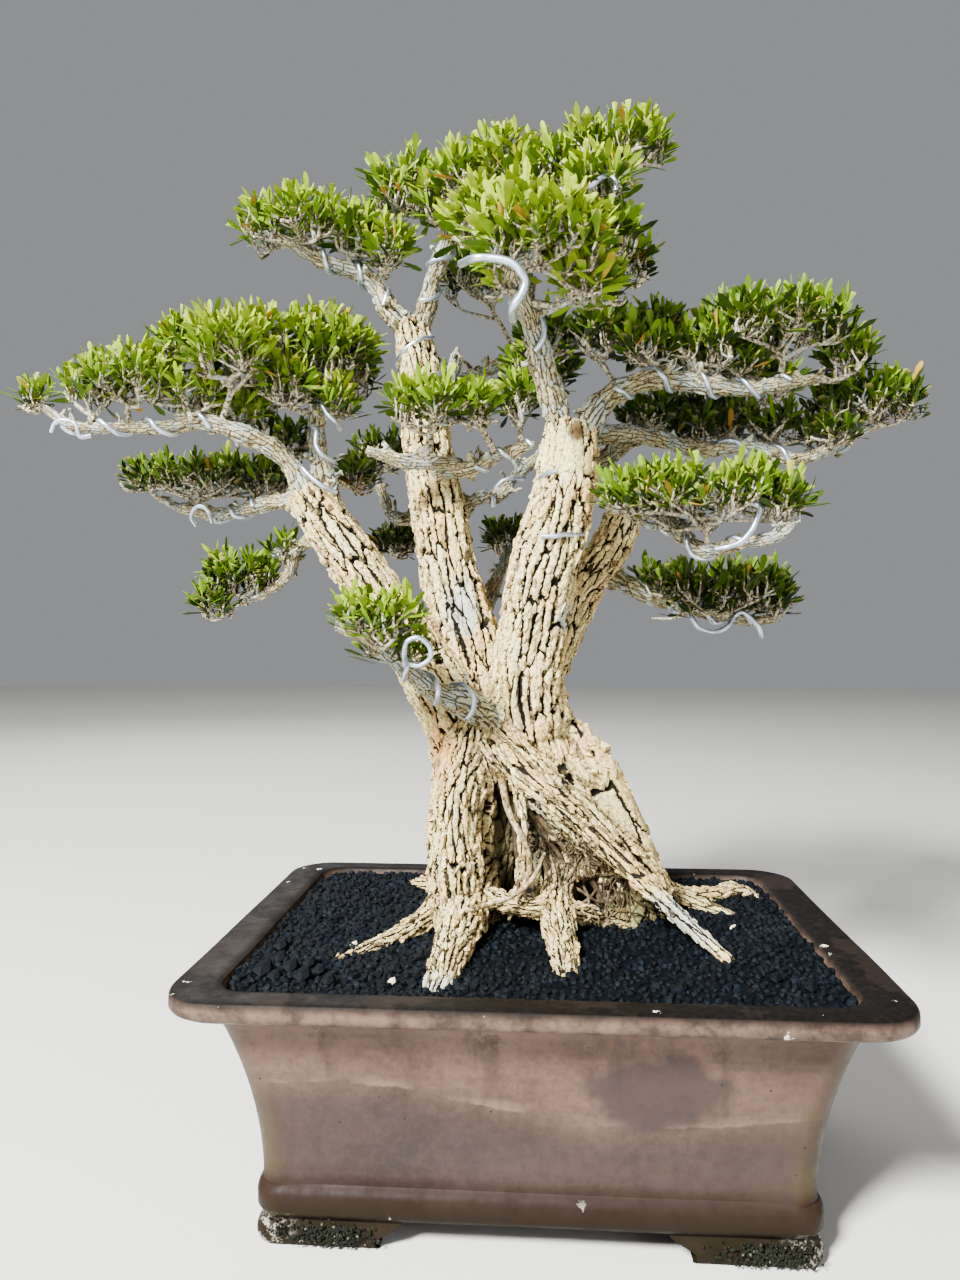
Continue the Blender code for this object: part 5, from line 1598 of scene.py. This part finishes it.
GRAINS = pattern_set("grain_kinds", [grain_mesh(f"grain_{k}", 40 + k) for k in range(GRAIN_KINDS)])
lava = grit_finish("crushed_lava_grit")
GRIT_TREE = grit_tree()
grit = run_tree(link("grit", grit_bed()), GRIT_TREE, Grains=GRAINS, Finish=lava)
dress(grit, "grit")
paint(frame["nodes"]["soil"].data, lava)

# %% [markdown]
# ## The clay pot
# The pot was pressed in a mould and finished by hand: a broad rim with soft edges, a body that flares out
# to meet it, a rounded rib down each corner, a band at the foot and four bracket feet. Its outline is a
# list of levels from the foot over the rim and down the inside. A loft through them gives every soft edge
# its own small arc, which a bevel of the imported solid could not.

# %% Pot shape
FLOOR_TOP = 28.0
BAND_TOP = 36.0
BODY_LOW = (172.0, 131.0)
BODY_TOP = (198.0, 148.0)
CORNER_STEPS = 10
SIDE_STEPS = 10
QUARTERS = [(1, 1), (-1, 1), (-1, -1), (1, -1)]
# How proud the corner ribs stand, and the share by which the wall beside them lies back
RIB = 2.6
RIB_GROOVE = 0.35
BODY_STEPS = 12
BODY_RISE = 109.0
BODY_BEND = 1.9
DRAINS = (-85.0, 85.0)
DRAIN_RADIUS = 12.0


def ring_plan(half, corner, rib):
    """Points round a rectangle with round corners, anticlockwise. The rib makes the corners stand proud."""
    def corner_point(quarter, share):
        sx, sy = QUARTERS[quarter % 4]
        angle = math.pi / 2 * (quarter + share)
        reach = corner + rib * (math.sin(math.pi * share) ** 0.5 - RIB_GROOVE)
        return (sx * (half[0] - corner) + reach * math.cos(angle),
                sy * (half[1] - corner) + reach * math.sin(angle))

    points = []
    for quarter in range(4):
        points += [corner_point(quarter, step / CORNER_STEPS) for step in range(CORNER_STEPS + 1)]
        start, end = points[-1], corner_point(quarter + 1, 0.0)
        points += [tuple(a + (b - a) * k / SIDE_STEPS for a, b in zip(start, end)) for k in range(1, SIDE_STEPS)]
    return points


def pot_levels():
    """Height, half width, half depth, corner radius and rib at each level, outside up and inside down."""
    levels = [(16, 171, 130, 17, 0), (18, 174.5, 133.5, 18, 0), (21, 176, 135, 18, 0), (30, 176, 135, 18, 0),
              (33.5, 175, 134, 18, 0), (35.3, 172.8, 131.8, 18, 0.5)]
    for step in range(BODY_STEPS):
        share = step / BODY_STEPS
        bend = share ** BODY_BEND
        wide, deep = [low + (top - low) * bend for low, top in zip(BODY_LOW, BODY_TOP)]
        levels.append((BAND_TOP + 1 + BODY_RISE * share, wide, deep, 18 + 6 * bend, RIB))
    levels += [(142, 197.2, 147.4, 24, RIB), (145, 200.5, 149.8, 26, RIB * 0.7), (147.2, 205, 153.4, 28, 1.2),
               (148.8, 210.5, 157.8, 30, 0.5), (150, 216.5, 162.6, 32, 0), (151, 221, 166.4, 33, 0),
               (152.6, 223.7, 168.7, 34, 0), (154.8, 224.7, 169.7, 34, 0), (157.5, 224.7, 169.7, 34, 0),
               (161, 224.5, 169.5, 34, 0), (163, 223.4, 168.4, 33, 0), (163.9, 221, 166, 32, 0),
               (164, 214, 161, 29, 0), (163.9, 203, 153, 25, 0), (163.6, 197.5, 149.6, 23, 0),
               (162.4, 195.4, 148.2, 22, 0), (160, 194.6, 147.6, 22, 0), (140, 189, 143, 22, 0),
               (60, 170.5, 127.5, 22, 0), (FLOOR_TOP, 162, 121, 22, 0)]
    return levels


def lofted(name, rings):
    """A closed shape through rings with the same number of points."""
    points = [point for ring in rings for point in ring]
    return link(name, mesh_from(name, points, ring_faces(len(rings), len(rings[0]))))


# A bracket foot: its size, and at each height how much shorter it is and how far it stands out
FOOT_LENGTH, FOOT_DEPTH, FOOT_THICK, FOOT_CORNER = 92.0, 62.0, 20.0, 12.0
FOOT_LEVELS = ((0, 15, 0.5), (1, 16, 2), (5, 15, 3.2), (9, 10, 3), (12, 4, 1.8), (15, 1, 0.6), (18, 0, 0))


def pot_foot(side, front):
    """One bracket foot, longer at the top than on the ground, with an S-shaped end."""
    rings = []
    turns = np.linspace(0, math.pi / 2, 7)
    round_off = [(FOOT_CORNER * (math.cos(a) - 1), FOOT_CORNER * (math.sin(a) - 1)) for a in turns]
    for z, slope, out in FOOT_LEVELS:
        x, y = BODY_LOW[0] + out, BODY_LOW[1] + out
        end_x, end_y, in_x, in_y = x - FOOT_LENGTH + slope, y - FOOT_DEPTH + slope, x - FOOT_THICK, y - FOOT_THICK
        plan = [(x, end_y), *[(x + px, y + py) for px, py in round_off], (end_x, y), (end_x, in_y), (in_x, in_y),
                (in_x, end_y)]
        turned = [(side * px, front * py, z) for px, py in plan]
        rings.append(turned if side * front > 0 else turned[::-1])
    return lofted("foot", rings)


def combine(thing, others, operation):
    """Joins others to a shape or cuts them from it, and removes them."""
    group = bpy.data.collections.new("operands")
    for other in others:
        group.objects.link(other)
    step = thing.modifiers.new("combine", "BOOLEAN")
    step.operation = operation
    step.operand_type = "COLLECTION"
    step.collection = group
    step.solver = "EXACT"
    keep_modifiers(thing)
    for other in others:
        bpy.data.objects.remove(other)
    bpy.data.collections.remove(group)


def soften(thing, angle, sway, seed):
    """Shades smoothly up to an angle, and gives the surface the slight waves of handwork."""
    points = skin_points(thing)
    waves = np.column_stack([soft_noise(points, 70.0, seed), soft_noise(points, 70.0, seed + 1),
                             0.4 * soft_noise(points, 90.0, seed + 2)]) * sway
    keep_foot = smoothstep(0.0, 20.0, points[:, 2])[:, None]
    thing.data.vertices.foreach_set("co", place(points + waves * keep_foot).ravel())
    thing.data.update()
    thing.data.shade_smooth()
    thing.data.set_sharp_from_angle(angle=math.radians(angle))


rings = [[(x, y, z) for x, y in ring_plan((wide, deep), corner, rib)]
         for z, wide, deep, corner, rib in pot_levels()]
pot = lofted("clay_pot", rings)
combine(pot, [pot_foot(side, front) for side in (-1, 1) for front in (-1, 1)], "UNION")
turn = np.linspace(0, 2 * math.pi, 24, endpoint=False)
drills = [lofted("drill", [[(x + DRAIN_RADIUS * math.cos(a), DRAIN_RADIUS * math.sin(a), z) for a in turn]
                           for z in (0.0, FLOOR_TOP + 5)]) for x in DRAINS]
combine(pot, drills, "DIFFERENCE")
soften(pot, 38, 0.6, 60)
report(pot)

# %% [markdown]
# ## Unglazed clay, as a finish
# Years of watering show on it. The clay is a brown mauve, and a wavy tide line runs across the front:
# above it a bloom of minerals has turned it pinkish, below it stays greyer. The rim is dark where it is
# wet and brown where algae grow, and white mineral chips and dark pinholes lie all over. It is burnished
# rather than glazed, so it has a broad soft sheen.

# %% Clay material
# The dark old patch on the pot's front
PATCH_AT = (76.0, -148.0, 103.0)


def clay_finish():
    made, shader, where = new_finish("old_unglazed_clay", 0.5)
    x, y, z = add("ShaderNodeSeparateXYZ", {0: where}).outputs
    cloud = noise(where, 11.0, 5.0, 0.65)
    spots = noise(where, 60.0, 4.0, 0.7)
    fine = noise(where, 190.0, 5.0, 0.7)
    # A wavy tide line runs across the front, with the greyer clay below it and the pinkish clay above
    swing = maths("COSINE", times_plus(x, 14.3, 14.3 * (0.15 - POT_X)))
    tide = times_plus(swing, -0.012, times_plus(cloud, 0.016, plus(z, 0.011)))
    tide = times_plus(spots, 0.006, tide)
    above = ramp(tide, 0.096, 0.13, 0.0, 1.0, "SMOOTHSTEP")
    mottle = ramp(cloud, 0.35, 0.65)
    colour = blend(above, blend(mottle, "#2A221F", "#392E2A"), blend(mottle, "#453229", "#5F493F"))
    line = smaller(ramp(tide, 0.1145, 0.116), ramp(tide, 0.116, 0.124, 1.0, 0.0))
    line = times(line, ramp(noise(where, 30.0, 2.0), 0.4, 0.6, 0.0, 0.5))
    brush = noise(vector("MULTIPLY", where, (9.0, 9.0, 130.0)), 1.0, 3.0, 0.6)
    drips = noise(vector("MULTIPLY", where, (60.0, 60.0, 5.0)), 1.0, 3.0, 0.6)
    away = length(vector("MULTIPLY", vector("SUBTRACT", where, place(PATCH_AT)), (1.0, 1.0, 1.6)))
    away = times_plus(noise(where, 24.0, 4.0, 0.6), 0.05, away)
    stain = ramp(noise(where, 30.0, 6.0, 0.7), 0.57, 0.59, 0.0, 0.6)
    # How near this place is to a corner of the body, whose sides lean out
    lean = maths("POWER", ramp(z, 0.037, 0.146), 1.9)
    near = smaller(*[minus(maths("ABSOLUTE", minus(axis, middle)), times_plus(lean, grow, half))
                     for axis, middle, grow, half in ((x, POT_X, 0.026, 0.172), (y, POT_Y, 0.017, 0.131))])
    # The tide line, brush marks, pale and dark grain, drips, the patch, darker towards the right end, stains,
    # ochre and corners
    colour = coats(
        colour, (line, "#80685A"), (ramp(brush, 0.5, 0.68, 0.0, 0.35), "#35281F"),
        (ramp(fine, 0.48, 0.7, 0.0, 0.22), blend(above, "#4A3C36", "#75594B")),
        (ramp(fine, 0.32, 0.48, 0.35, 0.0), "#251B17"),
        (times(ramp(drips, 0.52, 0.66, 0.0, 0.55), ramp(z, 0.04, 0.14, 0.2, 1.0)), "#2E221B"),
        (ramp(away, 0.06, 0.072, 0.82, 0.0), "#2C2322"),
        (ramp(times_plus(cloud, 0.08, x), POT_X + 0.14, POT_X + 0.2, 0.0, 0.45), "#30251F"),
        (times(stain, ramp(z, 0.118, 0.135)), "#21170F"),
        (times(ramp(spots, 0.62, 0.67, 0.0, 0.6), ramp(z, 0.11, 0.146)), "#5A3F1C"),
        (times(ramp(near, -0.022, -0.006), ramp(spots, 0.35, 0.55, 0.2, 0.85)), "#362B14"))
    # The rim's face is bare clay, and its top is dark where it is wet
    rim = blend(ramp(noise(where, 16.0, 5.0, 0.6), 0.44, 0.47), "#191411", "#090807")
    rim = blend(ramp(fine, 0.4, 0.65, 0.0, 0.3), rim, "#241C17")
    rim = blend(ramp(z, 0.158, 0.163), blend(ramp(spots, 0.38, 0.62), "#33271F", "#5C4A3E"), rim)
    lime = times(ramp(noise(where, 140.0, 5.0, 0.75), 0.49, 0.56, 0.0, 0.6), ramp(z, 0.022, 0.013))
    chips = add("ShaderNodeTexVoronoi", {"Vector": where, "Scale": 70.0}, feature="F1").outputs
    chip_size = ramp(add("ShaderNodeSeparateColor", {0: chips["Color"]}).outputs[0], 0.6, 1.0, 0.0, 0.32)
    ragged = times_plus(noise(where, 330.0, 4.0, 0.75), 0.9, chips["Distance"])
    edges = larger(ramp(z, 0.146, 0.15), ramp(z, 0.036, 0.026, 0.0, 0.6))
    chip = times(maths("LESS_THAN", ragged, plus(chip_size, 0.33)), times(edges, 0.9))
    holes = add("ShaderNodeTexVoronoi", {"Vector": where, "Scale": 48.0}, feature="F1").outputs["Distance"]
    hole = ramp(holes, 0.025, 0.045, 0.9, 0.0)
    # The rim, the dark band, algae and lime on the feet, chips and pinholes
    colour = coats(
        colour, (ramp(z, 0.148, 0.1505), rim),
        (times(ramp(z, 0.045, 0.034), ramp(spots, 0.35, 0.6, 0.95, 0.7)), "#1C130E"),
        (times(ramp(z, 0.034, 0.014), ramp(spots, 0.36, 0.52, 0.3, 0.95)), "#171309"),
        (times(lime, ramp(near, -0.026, -0.01)), "#A8A294"), (chip, "#DCD2C2"), (hole, "#150F0C"))
    height = minus(times(fine, 0.5), plus(hole, chip))
    bump(shader, 0.45, 0.7, height)
    feed(shader["Base Color"], colour)
    gloss = smaller(ramp(z, 0.156, 0.163, 0.2, 0.05), ramp(z, 0.04, 0.052, 0.05, 0.2))
    feed(shader["Specular IOR Level"], gloss)
    feed(shader["Roughness"], ramp(spots, 0.4, 0.6, 0.58, 0.42))
    return made


paint(pot.data, clay_finish())
dress(pot, "clay", "pot")

# %% [markdown]
# ## Moss on the feet
# Cushions of dark moss grow where the front feet stay wet. The tree that strews grit sets small lumps on
# loose points too, so a heap of points over the edge of each foot makes a cushion.

# %% Moss cushions
MOSS = [((-126.0, -136.0, 9.0), (24.0, 2.5, 7.0), 620), ((144.0, -136.0, 8.0), (28.0, 2.5, 7.0), 700),
        ((166.0, -131.0, 8.0), (8.0, 4.0, 6.0), 60), ((-158.0, -134.0, 10.0), (8.0, 3.0, 5.0), 50)]


def moss_points():
    rng = random.Random(5)
    points = [[c + h * rng.gauss(0, 0.5) for c, h in zip(centre, half)] for centre, half, count in MOSS
              for _ in range(count)]
    points = [point for point in points if 2.3 < point[2] < 19 and -137 < point[1] and abs(point[0]) < 171]
    mesh = mesh_from("moss", points, [])
    note(mesh, lump=[rng.uniform(0.55, 1.15) for _ in points])
    return mesh


def moss_finish():
    """Wet moss: black-green in its depth, olive on its tips, and quite dull."""
    made, shader, where = new_finish("dark_wet_moss", 0.85, 0.2)
    tuft = noise(where, 500.0, 3.0, 0.7)
    colour = colour_ramp(tuft, [(0.35, "#030401"), (0.55, "#0C0F04"), (0.72, "#262B0E")])
    colour = blend(ramp(attribute("shade"), 0.96, 0.99, 0.0, 0.5), colour, "#6E6B58")
    feed(shader["Base Color"], colour)
    return made


moss = run_tree(link("foot_moss", moss_points()), GRIT_TREE, Grains=GRAINS, Smallest=0.5, Largest=0.9,
                Finish=moss_finish())
dress(moss, "clay")

# %% [markdown]
# ## Training wires
# The branches are held by annealed aluminium wire about 4 mm thick, dulled to a blue-grey. Each wire winds
# round its limb and rests on the crests of the bark, so its path is found from the finished bark: from
# outside, a ray towards the centre line tells how far out the bark stands. A few free ends and loops that
# were left uncut are drawn one by one.

# %% Wires that hug the bark
WIRES = {
    "top_left": ("centre_left", 0.22, 0.7, 2.5, 2.0),
    "centre_top": ("centre", 0.84, 0.97, 1.5, 2.0),
    "centre_right": ("centre_right", 0.22, 0.55, 1.5, 2.0),
    "left_long": ("left_long", 0.42, 0.9, 3.0, 2.0),
    "left_low": ("left_low", 0.32, 0.62, 2.0, 2.0),
    "cross": ("cross_right", 0.35, 0.95, 2.0, 2.0),
    "right_trunk": ("right", 0.62, 0.84, 1.0, 2.0),
    "right_upper": ("right_upper", 0.24, 0.88, 4.0, 2.0),
    "right_long": ("right_long", 0.36, 0.74, 2.5, 2.0),
    "apex_front": ("right_apex", 0.42, 0.86, 1.5, 2.5),
    "apex_right": ("apex_top", 0.35, 0.7, 1.5, 2.0),
    "front_pad": ("front_pad", 0.3, 0.8, 2.0, 2.0),
    "right_low": ("right_low", 0.4, 0.85, 2.0, 2.0),
    "low_front": ("low_front", 0.22, 0.72, 2.5, 2.0),
    "centre_back": ("centre_back", 0.3, 0.8, 1.5, 2.0),
}
LOOSE_WIRES = {
    "apex_arc": (2.6, [(-48, -100, 618), (-38, -118, 614), (-28, -120, 613), (-16, -121, 610), (-9, -121, 604),
                       (-6, -120, 597), (-9, -119, 589), (-14, -116, 583), (-14, -104, 580)]),
    "apex_hook": (1.8, [(4, -36, 664), (1, -58, 673), (3, -66, 675), (9, -70, 677), (16, -72, 677),
                        (26, -72, 677), (36, -70, 679), (44, -68, 686), (49, -66, 688), (53, -66, 685),
                        (54, -66, 678)]),
    "left_hook": (1.8, [(-362, -27, 530), (-359, -27, 537), (-352, -28, 539), (-343, -28, 536), (-340, -27, 527),
                        (-333, -24, 528)]),
    "low_ring": (1.8, [(-283, 55, 470), (-283, 45, 476), (-279, 44, 483), (-273, 44, 484), (-268, 45, 479),
                       (-268, 52, 472)]),
    "right_pad_arc": (2.0, [(122, -58, 437), (129, -62, 438), (137, -63, 441), (144, -63, 448), (148, -62, 456),
                            (150, -62, 464), (145, -60, 468)]),
    "low_right": (2.0, [(122, 66, 398), (125, 62, 392), (131, 60, 384), (142, 60, 381), (153, 61, 386),
                        (159, 64, 394), (165, 62, 397), (172, 61, 391), (178, 61, 384), (180, 61, 376)]),
    "front_low_ring": (1.8, [(-88, -74, 358), (-88, -80, 367), (-86, -82, 374), (-78, -82, 377), (-71, -80, 371),
                             (-71, -78, 363), (-78, -77, 358), (-84, -74, 359)]),
    "stem_high": (1.9, [(-172, 22, 561), (-167, 13, 558), (-162, 11, 550), (-156, 12, 544), (-154, 22, 540)]),
    "stem_middle": (1.9, [(-172, 10, 538), (-168, 2, 534), (-168, 0, 524), (-163, 0, 516), (-156, 8, 512)]),
    "stem_low": (1.9, [(-180, 2, 508), (-177, -5, 505), (-170, -7, 498), (-161, -7, 491), (-152, -1, 487)]),
}
WIRE_STEPS = 18


def coil(skin, limb, begin, end, turns, radius):
    """A helix round a limb that rests on the crests of its bark."""
    line = smooth_path(LIMBS[limb], 24)
    side, up = path_frames(line[:, :3])[1:]
    lengths = np.concatenate([[0], np.cumsum(np.linalg.norm(np.diff(line[:, :3], axis=0), axis=1))])
    shares = np.linspace(begin, end, round(turns * WIRE_STEPS) + 1)
    index = np.minimum(np.searchsorted(lengths / lengths[-1], shares), len(line) - 1)
    angle = 2 * math.pi * np.arange(len(shares)) / WIRE_STEPS + math.pi / 2
    out = np.cos(angle)[:, None] * side[index] + np.sin(angle)[:, None] * up[index]
    centres, reach = line[index, :3], np.empty(len(shares))
    for k, (centre, way, thick) in enumerate(zip(centres, out, line[index, 3])):
        far = thick * 1.3 + 2
        hit = skin.ray_cast(Vector(place(centre + way * far)), Vector(-way), far * MM)
        reach[k] = far - hit[3] / MM if hit[0] else thick * 0.95
    crest = np.array([reach[max(0, k - 1):k + 2].mean() for k in range(len(reach))])
    crest = np.minimum(crest, line[index, 3] * (1.2 if limb in TRUNKS else BRANCH_SHARE * 1.02))
    crest = np.convolve(np.pad(crest, 2, mode="edge"), np.ones(5) / 5, mode="valid") + radius * 0.7
    return np.column_stack([centres + out * crest[:, None], np.full(len(crest), radius)])


wire_lines = [coil(SKIN, *spec) for spec in WIRES.values()]
wire_lines += [smooth_path([(*point, radius) for point in points], 6) for radius, points in LOOSE_WIRES.values()]


def wire_finish():
    """Aluminium that has dulled outdoors: still a metal, but its oxide spreads the reflection."""
    made, shader, where = new_finish("annealed_aluminium_wire", 0.42)
    feed(shader["Metallic"], 1.0)
    dull = noise(where, 120.0, 3.0, 0.6)
    colour = blend(ramp(dull, 0.4, 0.65), "#C9D2DC", "#95A1B0")
    feed(shader["Base Color"], colour)
    feed(shader["Roughness"], ramp(dull, 0.35, 0.65, 0.34, 0.55))
    return made


wires = run_tree(lines_object("training_wires", wire_lines), SWEEP, Sides=9, Finish=wire_finish())
dress(wires, "wire", *["wire_" + name for name in WIRES])

# %% [markdown]
# ## Drain meshes
# Two squares of plastic mesh lie under the grit, over the holes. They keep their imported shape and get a
# dull green plastic.

# %% Mesh plastic


def plastic_finish():
    made, shader, where = new_finish("green_mesh_plastic", 0.55, 0.4)
    scuff = noise(where, 200.0, 3.0)
    colour = blend(ramp(scuff, 0.4, 0.65), "#2A4A33", "#3C5E45")
    feed(shader["Base Color"], colour)
    return made


mesh_plastic = plastic_finish()
for name in ("drain_mesh_left", "drain_mesh_right"):
    sheet = frame["nodes"][name]
    paint(sheet.data, mesh_plastic)
print("mesh plastic on both drain meshes")

# %% The end: the pattern shapes are removed
for pattern in [*LEAF_KINDS.objects, *GRAINS.objects, *FLAKES.objects]:
    bpy.data.objects.remove(pattern)
